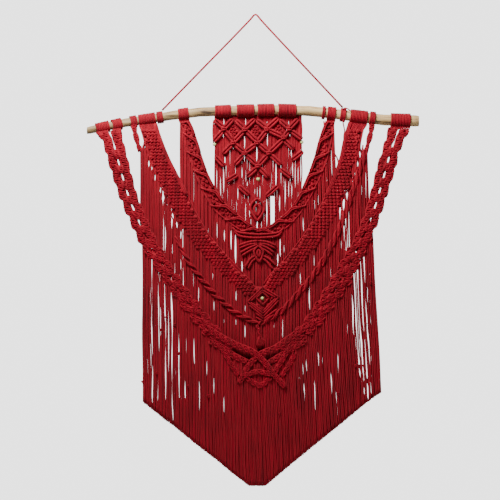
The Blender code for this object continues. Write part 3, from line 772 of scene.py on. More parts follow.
def addFringe(bundle, panel, sizes):
    # Cords that hang from the roots to the feet, none quite straight. Top and foot are how far across
    # they reach, roots and feet the drop at places across, and tuck how far up behind the band they start.
    # Each layer gives how many hang together, the room between groups, how far behind they lie, the step
    # along them and how loose they are.
    roots, feet = np.array(sizes["roots"], float), np.array(sizes["feet"], float)
    left, right = sizes["top"]
    footLeft, footRight = sizes["foot"]
    cutLeft, cutRight, cutAt = sizes.get("cut", (1e9, 1e9, 0))
    openings = slits + fineSlits(sizes.get("fineSlits", ()), roots, feet)
    for together, room, behind, step, looseness in sizes["layers"]:
        count = int((right - left) / (together * sizes["cord"] + room))
        for index in range(count):
            centre = (index + 0.5) / count
            groupTurn, groupLength = chance.uniform(*hang["anyTurn"]), chance.uniform(*hang["groupWave"])
            groupOut = chance.uniform(-hang["out"], hang["out"])
            for member in range(together):
                nudge = (member - (together - 1) / 2) * sizes["cord"] * hang["spacing"]
                nudge += chance.uniform(-hang["uneven"], hang["uneven"])
                top = left + centre * (right - left) + nudge
                foot = footLeft + centre * (footRight - footLeft) + nudge
                start = np.interp(top, roots[:, 0], roots[:, 1]) - sizes["tuck"]
                stop = np.interp(foot, feet[:, 0], feet[:, 1]) + chance.uniform(-1, 1) * sizes["ragged"]
                if cutLeft < top < cutRight:
                    stop = cutAt
                for low, high, until in sizes.get("sparse", ()):
                    # Light shows here, because many of the cords behind start only at this drop.
                    if together == 1 and low < top < high and chance.uniform() < hang["missing"]:
                        start = max(start, until)
                if stop - start < hang["shortest"]:
                    continue
                t = np.linspace(0, 1, max(3, int((stop - start) / step) + 1))
                drop = start + t * (stop - start)
                out = groupOut + chance.uniform(-hang["out"], hang["out"])
                calm = np.minimum(1.0, (drop - start) / hang["calm"])
                groupWave = np.sin(drop / groupLength * 2 + groupTurn)
                ownWave = np.sin(drop / chance.uniform(*hang["ownWave"]) + chance.uniform(*hang["anyTurn"]))
                loose = sizes["groupWave"] * groupWave + sizes["ownWave"] * ownWave
                wave = sizes["wave"] * np.sin(drop / hang["wave"] + top * hang["waveDrift"])
                across = top + t * (foot - top) + calm * (wave + looseness * loose)
                across = parted(across, drop, openings)
                sway = np.sin(drop / chance.uniform(*hang["swayWave"]) + chance.uniform(*hang["anyTurn"]))
                y = -(forwardAt(panel, drop) - behind + out + hang["sway"] * calm * sway)
                addTube(bundle, np.column_stack((across, y, -drop)) * mm, sizes["cord"] / 2 * mm)


stray = {"turns": 1.3, "points": 12, "size": 2.6, "out": 1.5, "rise": 3.0, "height": 0.8, "cord": 1.8}


def addStray(bundle, panel, places):
    # Small overhand knots in single cords: across, drop.
    turn = np.linspace(0, stray["turns"] * 2 * math.pi, stray["points"])
    for across, drop in places:
        out = float(forwardAt(panel, drop)) + stray["out"]
        points = np.column_stack((
            across + stray["size"] * np.cos(turn),
            -(out + stray["size"] * np.sin(turn)),
            -(drop - stray["rise"] + turn * stray["height"]),
        ))
        addTube(bundle, points * mm, stray["cord"] * mm)


# The net in the middle. Bars: from, to.
net = {
    "bars": (
        ((-111, 285), (-86, 307)), ((-61, 284), (-84, 309)), ((-53, 287), (-30, 310)),
        ((-2, 284), (-28, 310)), ((3, 287), (31, 309)), ((61, 282), (32, 309)), ((65, 287), (90, 309)),
        ((115, 284), (92, 309)),
        ((-88, 316), (-113, 344)), ((-81, 316), (-61, 343)), ((-31, 316), (-58, 344)), ((-25, 316), (3, 344)),
        ((29, 316), (6, 346)), ((36, 314), (73, 331)), ((89, 316), (78, 332)), ((96, 316), (126, 338)),
        ((-63, 352), (-88, 377)), ((-56, 352), (-31, 374)), ((1, 352), (-27, 373)), ((9, 352), (32, 373)),
        ((73, 340), (39, 373)), ((78, 341), (103, 366)), ((-33, 382), (-56, 407)), ((-25, 382), (4, 408)),
        ((32, 382), (9, 408)), ((40, 380), (68, 407)), ((128, 371), (99, 394)), ((-109, 385), (-84, 411)),
        ((3, 416), (-24, 440)), ((11, 416), (34, 441)), ((-49, 434), (-77, 451)), ((67, 419), (97, 442)),
        ((-46, 464), (-18, 489)), ((61, 464), (29, 492)),
    ),
    "row": {"pitch": 3.4, "points": 6, "reach": 2.2, "cord": 1.5, "taper": 6.0},
    "leafRow": {"pitch": 3.6, "points": 6, "reach": 2.5, "cord": 1.6, "taper": 7.0},
    "apart": 7.8,            # the two rows of a bar
    "barOut": (5.0, 6.2),
    "core": {"behind": 4.0, "radius": 2.2},
    "crossings": (
        (-85, 311), (-29, 313), (31, 312), (91, 311), (-60, 348), (4, 348), (76, 334), (-30, 377),
        (36, 376), (6, 411),
    ),
    "crossing": {"size": 1.45, "out": 5.8},
    # Patches of small knots, and where each knot sits in a patch, in rows and columns.
    "patches": ((-61, 318), (0, 318), (61, 318)),
    "patch": ((-2, 0), (-1, -0.5), (-1, 0.5), (0, -1), (0, 0), (0, 1), (1, -0.5), (1, 0.5), (2, 0)),
    "patchKnot": {"row": 7.4, "column": 8.4, "size": 0.8, "out": 1.6, "tilt": 0.2},
    # Cords that bulge out at the net's sides: across, drop from, drop to.
    "bulges": ((-115, 283, 345), (125, 283, 338)),
    "bulge": {
        "insets": (0, 4.2, 8.4), "inward": 0.8, "depth": 2, "more": 0.4, "below": 4, "out": 1.0, "step": 6,
    },
    "leafOut": 4.5,
    "leaf": (
        ((5, 497), (-10, 512), (-13, 530), (5, 560)), ((5, 497), (20, 512), (23, 530), (5, 560)),
        ((5, 511), (-4, 527), (4, 546)), ((6, 511), (14, 527), (6, 546)),
    ),
    "backCords": {
        "top": (-111, 125), "foot": (-111, 125), "tuck": 3, "cord": 4.0,
        "wave": 0.3, "groupWave": 0.3, "ownWave": 0.3, "ragged": 4,
        "layers": ((2, 0.2, 2.5, 12, 1.0),),
        "roots": ((-120, 270), (130, 270)),
        "feet": (
            (-120, 378), (-112, 383), (-84, 406), (-83, 376), (-61, 352), (-60, 408), (-29, 382),
            (5, 410), (36, 383), (71, 408), (72, 342), (98, 366), (99, 390), (130, 363),
        ),
    },
    "fringe": {
        "top": (-111, 125), "foot": (-111, 125), "tuck": 3, "cord": 3.8,
        "wave": 0.3, "groupWave": 0.3, "ownWave": 0.1, "ragged": 2,
        "layers": ((1, -0.3, 0.0, 12, 1.0),),
        "roots": ((-120, 270), (130, 270)),
        "feet": ((-120, 500), (-58, 556), (-50, 676), (60, 676), (66, 572), (97, 545), (130, 500)),
        "cut": (41, 52, 492),    # the cords between these two places end higher
    },
}


def makeNet():
    bundle = newBundle()
    addWraps(bundle, wraps["centre"])
    for cords in ("backCords", "fringe"):
        addFringe(bundle, "centre", net[cords])
    for number, bar in enumerate(net["bars"]):
        out = net["barOut"][number % 2]
        for side in (-0.5, 0.5):
            hitchRow(bundle, "centre", bar, net["row"], out, side * net["apart"])
        smoothCord(bundle, "centre", bar, out - net["core"]["behind"], radius=net["core"]["radius"])
    for across, drop in net["crossings"]:
        addKnot(bundle, "centre", across, drop, 0.0, net["crossing"]["size"], net["crossing"]["out"])
    small = net["patchKnot"]
    for across, drop in net["patches"]:
        for row, column in net["patch"]:
            tilt = chance.uniform(-small["tilt"], small["tilt"])
            addKnot(bundle, "centre", across + small["column"] * column, drop + small["row"] * row,
                    tilt, small["size"], small["out"])
    bulge = net["bulge"]
    for across, top, foot in net["bulges"]:
        inward = -1 if across > 0 else 1
        for inset in bulge["insets"]:
            rows = []
            for share in (0.0, 0.3, 0.6, 1.0):
                depth = (bulge["depth"] + inset * bulge["more"]) * (1 - math.sin(math.pi * share))
                rows.append((across + inward * (inset * bulge["inward"] + depth),
                             top + bulge["below"] + share * (foot - top)))
            smoothCord(bundle, "centre", rows, bulge["out"], step=bulge["step"])
    for rows in net["leaf"]:
        hitchRow(bundle, "centre", rows, net["leafRow"], net["leafOut"])
    makePiece("net_panel", bundle, redCotton, ["centre_panel"])


makeNet()

# The upper band with the bow. A band's rows: across, drop, width.
inner = {
    "left": (
        (-191, 292, 28), (-181, 319, 32), (-170, 362, 38), (-158, 400, 36), (-142, 443, 36), (-126, 475, 36),
        (-108, 506, 38), (-85, 532, 36), (-58, 554, 35), (-31, 574, 32), (5, 592, 24),
    ),
    "right": (
        (201, 292, 26), (189, 340, 36), (177, 389, 38), (162, 429, 36), (144, 470, 34), (123, 510, 32),
        (97, 545, 32), (70, 568, 34), (42, 586, 30), (4, 594, 24),
    ),
    "leftTop": (-206, -182),     # where its cords leave the branch
    "rightTop": (196, 214),
    "fan": {"along": 12, "edge": 2, "cords": 7},
    "edge": {"inset": 2.0, "swing": 0.05, "step": 6, "out": 1.2},
    "underlay": 3.7,             # spacing of the cords that run on under the knots
    "unit": 51,                  # length of a stretch between two crossings
    "first": -0.5,               # where the first crossing starts, in stretches
    "lastRoom": 20,
    "arc": 1.3,                  # length of a crossing pair, in stretches
    "pair": {
        "cord": 2.2, "gap": 3.4, "edge": 1.8, "inset": 4.0, "out": 6.0, "crossed": 0.5, "endShare": 0.04,
        "points": 15, "shortest": 0.1,
    },
    "knotPitch": 9.4,
    "knotSize": 0.86,
    "laneGap": 13.0,
    "lean": 0.75,                # how far the knots lean with the band
    "knotTilt": (-0.4, 0.4),
    "knotUneven": (0.92, 1.1),
    "knotOut": (-0.6, 0.8),
    # The bow's ribs: rows, then how far in front.
    "ribs": (
        (((-62, 576), (-50, 588), (-20, 593), (7, 595), (40, 593), (63, 589), (76, 578)), 4.6),
        (((-58, 585), (-46, 598), (-20, 603), (7, 604), (40, 602), (60, 598), (72, 586)), 4.4),
        (((7, 612), (-17, 615), (-44, 624)), 5.2),
        (((7, 612), (31, 615), (56, 625)), 5.2),
        (((6, 619), (-17, 622), (-43, 632)), 4.4),
        (((8, 619), (31, 622), (54, 633)), 4.4),
        (((5, 622), (-17, 631), (-41, 644)), 5.0),
        (((9, 622), (31, 631), (50, 644)), 5.0),
        (((3, 630), (-15, 639), (-37, 652)), 4.2),
        (((11, 630), (29, 639), (46, 652)), 4.2),
        (((-1, 652), (-15, 662), (-28, 683)), 4.6),
        (((1, 659), (-10, 669), (-20, 688)), 4.2),
        (((20, 652), (37, 661), (55, 679)), 4.6),
        (((18, 659), (31, 669), (46, 688)), 4.2),
        (((7, 625), (-4, 639), (0, 655), (9, 670)), 5.8),
        (((8, 625), (20, 639), (18, 655), (10, 670)), 5.8),
        (((8, 635), (4, 644), (9, 656)), 4.6),
        (((9, 635), (13, 644), (10, 656)), 4.6),
    ),
    "row": {"pitch": 3.4, "points": 6, "reach": 1.9, "cord": 1.4, "taper": 6.0},
    "fringe": {
        "top": (-204, 212), "foot": (-204, 220), "tuck": 6, "cord": 4.0,
        "wave": 0.5, "groupWave": 0.45, "ownWave": 0.25, "ragged": 3,
        "layers": ((2, 1.3, 0.0, 12, 1.0), (1, -0.7, 5.0, 15, 0.2)),
        "fineSlits": ((-190, -60, 5), (60, 200, 5)),
        "roots": (
            (-204, 292), (-185, 300), (-170, 362), (-142, 443), (-108, 506), (-58, 554), (-42, 566),
            (-38, 604), (7, 600), (44, 604), (62, 574), (97, 545), (144, 470), (177, 389), (192, 320),
            (212, 292),
        ),
        "feet": (
            (-209, 497), (-142, 613), (-66, 695), (-30, 728), (-26, 760), (60, 760), (66, 705), (96, 675),
            (150, 606), (212, 497), (222, 480),
        ),
    },
    # Loose cords at its two sides: rows, then how far in front.
    "looseCords": (
        (((184, 290), (190, 330), (205, 366), (222, 395), (223, 440)), 1.0),
        (((-190, 290), (-197, 340), (-197, 400), (-199, 480)), 0.0),
    ),
}


def bandOfCrossings(bundle, panel, rows, top, sizes):
    # Pairs of smooth cords cross the band from edge to edge and run on along it, and small knots
    # fill the room between them.
    line = softLine(rows)
    length, unit, edging, pair = line["length"], sizes["unit"], sizes["edge"], sizes["pair"]
    inward = 1 if rows[0][0] < 0 else -1
    along = np.linspace(0, length, int(length / edging["step"]))
    width = read(line, along)[4]
    swing = 1 - edging["swing"] + edging["swing"] * np.cos(2 * math.pi * along / unit)
    for edge in (-1, 1):
        side = edge * (width / 2 - edging["inset"]) * swing
        addTube(bundle, onLine(line, along, side, edging["out"], panel))
    addUnderlay(bundle, panel, line, sizes["underlay"])
    share = np.linspace(0, 1, pair["points"])
    sway = -np.cos(math.pi * np.minimum(1, share / pair["crossed"]))
    front = pair["out"] * np.sin(math.pi * np.clip(share, pair["endShare"], 1 - pair["endShare"])) ** 0.5
    for place in np.arange(sizes["first"] * unit, length - sizes["lastRoom"], unit):
        for number in (0, 1):
            steps = np.clip(place + share * unit * sizes["arc"] + number * pair["gap"], 0, length)
            half = read(line, steps)[4] / 2 - pair["edge"] - pair["inset"] * number
            points = onLine(line, steps, inward * half * sway, front, panel)
            points = points[np.concatenate(([True], np.diff(steps) > pair["shortest"]))]
            if len(points) > 3:
                addTube(bundle, points, pair["cord"] * mm)
    for index in range(int(length / sizes["knotPitch"])):
        place = (index + 0.5) * sizes["knotPitch"]
        across, drop, headAcross, headDrop, _ = (value[0] for value in read(line, np.array([place])))
        lanes = 2 - index % 2
        for lane in range(lanes):
            side = (lane - (lanes - 1) / 2) * sizes["laneGap"] * sizes["knotSize"]
            at = (across + side * headDrop, drop - side * headAcross)
            if isOpen(*at):
                continue
            tilt = -math.atan2(headAcross, headDrop) * sizes["lean"] + chance.uniform(*sizes["knotTilt"])
            size = sizes["knotSize"] * chance.uniform(*sizes["knotUneven"])
            addKnot(bundle, panel, *at, tilt, size, chance.uniform(*sizes["knotOut"]))
    half = line["width"][0] / 2 - sizes["fan"]["edge"]
    addFan(bundle, panel, top, line, sizes["fan"]["along"], (-half, half), sizes["fan"]["cords"])


def makeInner():
    bundle = newBundle()
    addWraps(bundle, wraps["inner"])
    addFringe(bundle, "inner", inner["fringe"])
    for side in ("left", "right"):
        bandOfCrossings(bundle, "inner", inner[side], inner[side + "Top"], inner)
    for rows, out in inner["ribs"]:
        hitchRow(bundle, "inner", rows, inner["row"], out)
    for rows, out in inner["looseCords"]:
        smoothCord(bundle, "inner", rows, out)
    makePiece("bow_panel", bundle, redCotton, ["inner_panel"])


makeInner()

# A narrow sinnet, as in the star's arms, the loops beside the middle band and the tail.
narrowSinnet = {"knot": 17.0, "points": 12, "cords": 2, "radius": 2.0, "depth": 3.8, "fillers": 4}

# The middle band, the thin band under it and the diamond.
middle = {
    "left": (
        (-292, 288, 46), (-277, 340, 49), (-258, 394, 53), (-236, 443, 57), (-209, 497, 59), (-177, 559, 57),
        (-142, 613, 53), (-104, 656, 50), (-66, 695, 47), (-26, 734, 43), (-12, 749, 34),
    ),
    "right": (
        (276, 284, 44), (261, 340, 49), (250, 394, 50), (234, 448, 54), (212, 497, 54), (190, 540, 53),
        (150, 606, 50), (96, 675, 50), (63, 707, 46), (42, 729, 40), (33, 740, 34),
    ),
    # A loop of sinnet beside each half of the band.
    "loops": (
        ((-330, 290, 18), (-325, 319, 19), (-318, 346, 18), (-312, 372, 12)),
        ((315, 290, 18), (311, 319, 19), (304, 346, 18), (298, 372, 12)),
    ),
    "scallop": 31.0,             # length of one bulge of the loops
    "scallopDepth": 0.32,
    # The thin band below.
    "thinLeft": (
        (-218, 600, 8), (-198, 637, 12), (-178, 672, 16), (-148, 712, 17), (-116, 750, 17), (-84, 780, 17),
        (-53, 806, 17), (8, 837, 15),
    ),
    "thinRight": (
        (300, 360, 14), (291, 390, 16), (279, 424, 17), (262, 475, 16), (244, 533, 16),
        (215, 602, 18), (171, 683, 18), (120, 748, 18), (69, 801, 17), (8, 838, 15),
    ),
    "leftTop": (-313, -272),     # where its cords leave the branch
    "rightTop": (258, 300),
    "fan": {"along": 34, "edge": 2, "cords": 12},
    "firstRow": 318,
    "lastRow": 6,                # how far past the band's end the last row may be
    "rowHeight": 8.9,
    "columnWidth": 9.9,
    "knotSize": 0.97,
    "knotUneven": (-0.03, 0.05),
    "knotTilt": (-0.13, 0.13),
    "knotOut": (-0.5, 0.6),
    "innerRoom": 9.5,            # room for the smooth cords along the inner edge
    "outerRoom": 4.5,
    "uprightBelow": 600,         # below here the cords hang straight and the knots with them
    "uprightFrom": 440,
    "steepest": 0.45,
    "underlay": {"pitch": 4.0, "from": 10, "out": -3.0},
    # Smooth cords along the edges: inset, how far in front, and where they end along the band.
    "innerCords": ((1.8, 1.6, 230), (5.4, 2.6, 230), (8.6, 2.0, 230)),
    "outerCords": ((2.0, 1.0, 190),),
    "edgeFrom": 14,
    "edgeStep": 9,
    "thin": {
        "strands": 2, "pairGap": 6.5, "pitch": 58, "step": 4.0, "radius": 2.3, "out": 0.3, "swing": 0.62,
        "nubs": 0.08, "nubLength": 17, "nubShift": 2.1,
        "core": 3, "coreStep": 12, "coreEdge": 2.5, "coreRadius": 2.0,
    },
    "row": {"pitch": 3.4, "points": 6, "reach": 1.5, "cord": 1.3, "taper": 4.0},
    # The diamond's ribs: from, to, how far in front.
    "ribs": (
        ((18.6, 737), (-22, 777), 4.6), ((18.6, 737), (63, 764), 4.6), ((-21, 777), (21, 808), 4.4),
        ((62, 764), (21, 808), 4.4), ((18, 745), (-13, 775), 4.2), ((18, 745), (54, 765), 4.2),
        ((-13, 778), (20, 801), 4.2), ((54, 767), (21, 801), 4.2), ((18.6, 750), (36, 766), 4.8),
        ((36, 766), (20, 785), 4.8), ((20, 785), (2, 766), 4.8), ((2, 766), (18.6, 750), 4.8),
        ((-17, 786), (20, 815), 4.2), ((62, 773), (22, 815), 4.2), ((0, 806), (21, 822), 4.0),
        ((58, 796), (23, 822), 4.0), ((1, 818), (20, 829), 3.6), ((50, 811), (22, 829), 3.6),
    ),
    "diamondKnots": ((-5, 768), (45, 766), (6, 786), (34, 785), (20, 793)),
    "diamondKnot": {"size": 0.7, "out": 2.5},
    "tail": ((4, 840, 11), (9, 856, 10), (13, 873, 10)),
    "tailKnots": {"fillers": 2, "radius": 1.7},
    "tailOut": 5.0,
    # The tassel below the tail. Top, bulge and foot: drop, share of its cords' spacing there.
    "tassel": {
        "across": 13, "cords": 15, "spacing": 1.25, "cord": 1.3,
        "top": (868, 0.25), "bulge": (882, 0.95), "foot": (903, 1.1),
        "ragged": 2, "shorter": 0.06, "depth": 2.5, "spread": 2.1,
    },
    "fringe": {
        "top": (-311, 301), "foot": (-311, 309), "tuck": 6, "cord": 4.0,
        "wave": 0.6, "groupWave": 0.45, "ownWave": 0.25, "ragged": 3,
        "layers": ((2, 0.8, 0.0, 12, 1.0), (1, -0.7, 5.2, 15, 0.2)),
        "fineSlits": ((-290, -60, 7), (60, 280, 7)),
        "sparse": ((-250, -192, 1000), (222, 250, 1000)),
        "roots": (
            (-311, 360), (-305, 368), (-292, 330), (-277, 350), (-258, 402), (-236, 452), (-209, 506),
            (-142, 618), (-66, 700), (-26, 738), (18, 742), (42, 732), (63, 712), (96, 680), (150, 611),
            (212, 505), (234, 456), (250, 402), (261, 350), (276, 330), (292, 380), (300, 360),
        ),
        "feet": (
            (-317, 551), (-274, 640), (-223, 718), (-147, 821), (-118, 855), (-108, 985), (96, 985),
            (122, 862), (161, 821), (228, 721), (288, 605), (320, 530),
        ),
    },
}


def latticeBand(bundle, panel, rows, sizes):
    # Square knots in level rows, each row half a knot off the one above it.
    line = softLine(rows)
    drops = line["points"][:, 1]
    drop, number = float(sizes["firstRow"]), 0
    below, wide = sizes["uprightBelow"], sizes["columnWidth"]
    while drop < drops[-1] + sizes["lastRow"]:
        along = np.interp(drop, drops, line["along"])
        across, _, headAcross, headDrop, width = (value[0] for value in read(line, np.array([along])))
        half = width / 2 / max(headDrop, sizes["steepest"])
        upright = np.clip((below - drop) / (below - sizes["uprightFrom"]), 0, 1)
        origin = np.interp(min(drop, below), drops, line["points"][:, 0])
        shift = origin + 0.5 * wide * (number % 2)
        left, right = sizes["outerRoom"], sizes["innerRoom"]
        if rows[0][0] > 0:
            left, right = right, left
        low = math.ceil((across - half + left - shift) / wide)
        high = math.floor((across + half - right - shift) / wide)
        lean = -math.atan2(headAcross, headDrop) * upright
        for column in range(low, high + 1):
            place = shift + column * wide
            if isOpen(place, drop):
                continue
            size = sizes["knotSize"] + chance.uniform(*sizes["knotUneven"])
            tilt = lean + chance.uniform(*sizes["knotTilt"])
            addKnot(bundle, panel, place, drop, tilt, size, chance.uniform(*sizes["knotOut"]))
        drop += sizes["rowHeight"]
        number += 1
    return line


def edgeCords(bundle, panel, line, edge, cords, sizes):
    start = sizes["edgeFrom"]
    for inset, out, stop in cords:
        along = np.linspace(start, stop, max(3, int((stop - start) / sizes["edgeStep"])))
        width = read(line, along)[4]
        addTube(bundle, onLine(line, along, edge * (width / 2 - inset), out, panel))


def scallopedSinnet(bundle, panel, rows):
    # A narrow sinnet that draws in between its bulges.
    line = softLine(rows)
    least = 1 - middle["scallopDepth"]

    def half(along):
        bulge = np.abs(np.sin(math.pi * along / middle["scallop"]))
        return read(line, along)[4] / 2 * (least + middle["scallopDepth"] * bulge)

    squareSinnet(bundle, line, panel, narrowSinnet, 0.0, half)


def addTassel(bundle, panel, sizes):
    for index in range(sizes["cords"]):
        side = (index - (sizes["cords"] - 1) / 2) * sizes["spacing"]
        out = middle["tailOut"] + sizes["depth"] * math.sin(index * sizes["spread"])
        stop = sizes["foot"][0] - sizes["shorter"] * side * side
        stop += chance.uniform(-sizes["ragged"], sizes["ragged"])
        drops = (sizes["top"][0], sizes["bulge"][0], stop)
        spreads = (sizes["top"][1], sizes["bulge"][1], sizes["foot"][1])
        rows = [(sizes["across"] + side * spread, drop) for spread, drop in zip(spreads, drops)]
        smoothCord(bundle, panel, rows, out, radius=sizes["cord"])


def makeMiddle():
    bundle = newBundle()
    addWraps(bundle, wraps["middle"])
    under = middle["underlay"]
    for side, inward in (("left", 1), ("right", -1)):
        line = latticeBand(bundle, "middle", middle[side], middle)
        half = line["width"][0] / 2 - middle["fan"]["edge"]
        addFan(bundle, "middle", middle[side + "Top"], line, middle["fan"]["along"], (-half, half),
               middle["fan"]["cords"])
        addUnderlay(bundle, "middle", line, under["pitch"], under["from"], under["out"])
        edgeCords(bundle, "middle", line, inward, middle["innerCords"], middle)
        edgeCords(bundle, "middle", line, -inward, middle["outerCords"], middle)
    makePiece("middle_band", bundle, redCotton, ["middle_panel"])

    bundle = newBundle()
    addFringe(bundle, "middle", middle["fringe"])
    for rows in middle["loops"]:
        scallopedSinnet(bundle, "middle", rows)
    for part in ("thinLeft", "thinRight"):
        rope(bundle, softLine(middle[part]), "middle", middle["thin"])
    for start, stop, out in middle["ribs"]:
        hitchRow(bundle, "middle", (start, stop), middle["row"], out)
    for across, drop in middle["diamondKnots"]:
        addKnot(bundle, "middle", across, drop, **middle["diamondKnot"])
    tailKnots = {**narrowSinnet, **middle["tailKnots"]}
    squareSinnet(bundle, softLine(middle["tail"]), "middle", tailKnots, out=middle["tailOut"])
    addTassel(bundle, "middle", middle["tassel"])
    makePiece("middle_fringe", bundle, redCotton, ["middle_panel"])


# The outer band, the star and the long fringe.
outer = {
    "left": (
        (-394, 318, 62), (-383, 346, 55), (-370, 394, 54), (-355, 448, 51), (-338, 502, 47), (-317, 551, 46),
        (-296, 599, 45), (-274, 640, 43), (-250, 678, 40), (-223, 718, 40), (-188, 770, 42), (-147, 821, 40),
        (-104, 872, 38),
    ),
    "right": (
        (386, 312, 55), (375, 340, 50), (363, 373, 46), (352, 413, 51), (339, 459, 47), (328, 497, 46),
        (313, 545, 43), (288, 605, 43), (261, 659, 49), (228, 721, 51), (196, 770, 46), (161, 821, 42),
        (126, 861, 38),
    ),
    # Fans of cords from the branch to the band: across from and to, how far along the band they
    # join it, the sides they spread between there, how many.
    "leftFans": (((-429, -399), 9, (-26, -5), 8), ((-383, -364), 16, (4, 24), 6)),
    "rightFans": (((367, 392), 9, (-23, -4), 7), ((393, 416), 9, (4, 23), 6)),
    "repeat": 43.0,              # length from one slot to the next
    "slot": 1.0,                 # how far the lanes draw apart at a slot
    "slotSharpness": 1.5,
    "topSlot": 0.4,              # how far they stay apart down to the first slot
    "overlap": 0.8,              # how far they lie over one another between slots
    "bulge": 2.2,                # how far a knotted stretch stands out at the band's edges
    "bulgeLevel": 0.6,
    "stair": 0.55,               # how nearly upright each stretch hangs
    "stairTurn": 0.8,            # share of a stretch before the step back
    "innerStair": 0.3,
    "joinWidth": 0.22,
    "joinReach": 12,
    "joinOut": 1.2,
    "lane": {"knot": 19.0, "points": 12, "cords": 2, "radius": 2.1, "depth": 4.4, "fillers": 6, "level": 0.6},
    "join": {"knot": 19.0, "points": 12, "cords": 2, "radius": 2.1, "depth": 4.4, "fillers": 2, "level": 0.6},
    "fringe": {
        "top": (-305, 313), "foot": (-304, 339), "tuck": 4, "cord": 4.0,
        "wave": 0.8, "groupWave": 0.5, "ownWave": 0.3, "ragged": 0.8,
        "layers": ((2, 0.7, 0.0, 15, 1.0), (1, -0.7, 5.4, 18, 0.2)),
        "fineSlits": ((-305, -180, 8), (-170, 150, 6), (200, 325, 8)),
        "sparse": ((-286, -186, 1035), (256, 316, 945)),
        "roots": (
            (-312, 566), (-274, 640), (-223, 718), (-147, 821), (-112, 860), (-92, 900), (-60, 920),
            (-20, 935), (12, 940), (50, 935), (82, 920), (102, 905), (114, 890), (126, 862), (161, 821),
            (228, 721), (288, 605), (320, 540),
        ),
        "feet": ((-310, 1043), (-302, 1046), (-18, 1271), (26, 1271), (279, 1063), (306, 1042), (345, 1015)),
    },
    "strayKnots": (
        (-255, 851), (-217, 837), (-207, 915), (-266, 967), (-240, 818), (-128, 1029), (-304, 991),
        (296, 837), (301, 907), (308, 726), (268, 948), (-182, 1003), (221, 1022), (64, 1077),
    ),
}

star = {
    # Arms: rows of across, drop and width, then how far in front.
    "arms": (
        (((-130, 846, 20), (-91, 872, 21), (-46, 895, 20), (-12, 908, 19), (18, 932, 19), (46, 967, 18),
          (78, 1004, 17)), 3.4),
        (((-122, 881, 20), (-91, 899, 20), (-58, 921, 20), (-22, 938, 17)), 1.0),
        (((-116, 868, 18), (-88, 886, 17), (-62, 903, 14)), 0.2),
        (((136, 843, 20), (92, 874, 21), (53, 900, 19), (12, 917, 18), (-20, 950, 18), (-44, 996, 17)), 1.6),
        (((136, 880, 20), (104, 898, 20), (70, 920, 20), (38, 938, 17)), 0.6),
        (((128, 864, 18), (96, 886, 17), (66, 906, 14)), 0.2),
        (((96, 893, 17), (77, 923, 17), (53, 964, 16)), 2.2),
        (((106, 914, 16), (88, 950, 16), (69, 977, 15)), 0.4),
        (((-88, 905, 16), (-68, 940, 16), (-47, 974, 15)), 0.4),
        (((-34, 977, 16), (3, 964, 16), (42, 971, 16)), 2.4),
        (((-22, 982, 16), (12, 1001, 17), (40, 980, 16)), 0.8),
    ),
}


def laneEdges(line, along, lane, inward, sizes):
    # The sides of one lane, near the band's middle and far from it.
    repeat, stretch = sizes["repeat"], sizes["stairTurn"]
    apart = (0.5 + 0.5 * np.cos(2 * math.pi * along / repeat)) ** sizes["slotSharpness"]
    apart = np.where(along < repeat, np.maximum(apart, sizes["topSlot"]), apart)
    share = (along / repeat + (0.0 if lane == inward else 0.5)) % 1
    bulge = sizes["bulge"] * (np.sin(math.pi * share) ** 0.5 - sizes["bulgeLevel"])
    _, _, headAcross, _, width = read(line, along)
    rise = np.where(share < stretch, share / stretch, (1 - share) / (1 - stretch)) - 0.5
    stair = -sizes["stair"] * headAcross * repeat * stretch * rise
    gap = -sizes["overlap"] + (sizes["slot"] / 2 + sizes["overlap"]) * apart
    return lane * gap + stair * sizes["innerStair"], lane * (width / 2 + bulge) + stair


def joinedLanes(bundle, panel, rows, sizes):
    # Two sinnets side by side that draw apart at each slot and are knotted together between slots.
    # Each knotted stretch hangs more upright than the band, so the edges are stepped.
    line = softLine(rows)
    inward = 1 if rows[0][0] < 0 else -1
    for lane in (-1, 1):
        def laneMiddle(along, lane=lane):
            return sum(laneEdges(line, along, lane, inward, sizes)) / 2

        def laneHalf(along, lane=lane):
            near, far = laneEdges(line, along, lane, inward, sizes)
            return np.abs(far - near) / 2

        knots = {**sizes["lane"], "phase": 0.0 if lane < 0 else math.pi}
        squareSinnet(bundle, line, panel, knots, laneMiddle, laneHalf)

    def joinHalf(along):
        return read(line, along)[4] * sizes["joinWidth"]

    reach = sizes["joinReach"]
    for place in np.arange(sizes["repeat"] * 1.5, line["length"] - reach, sizes["repeat"]):
        squareSinnet(bundle, line, panel, sizes["join"], 0.0, joinHalf, sizes["joinOut"],
                     place - reach, place + reach)
    return line


def makeOuter():
    bundle = newBundle()
    addWraps(bundle, wraps["outer"])
    for side in ("left", "right"):
        line = joinedLanes(bundle, "outer", outer[side], outer)
        for top, along, sides, count in outer[side + "Fans"]:
            addFan(bundle, "outer", top, line, along, sides, count)
    for rows, out in star["arms"]:
        squareSinnet(bundle, softLine(rows), "outer", narrowSinnet, out=out)
    makePiece("outer_band", bundle, redCotton, ["outer_panel"])

    bundle = newBundle()
    addFringe(bundle, "outer", outer["fringe"])
    addStray(bundle, "outer", outer["strayKnots"])
    makePiece("long_fringe", bundle, redCotton, ["outer_panel"])


makeMiddle()
makeOuter()

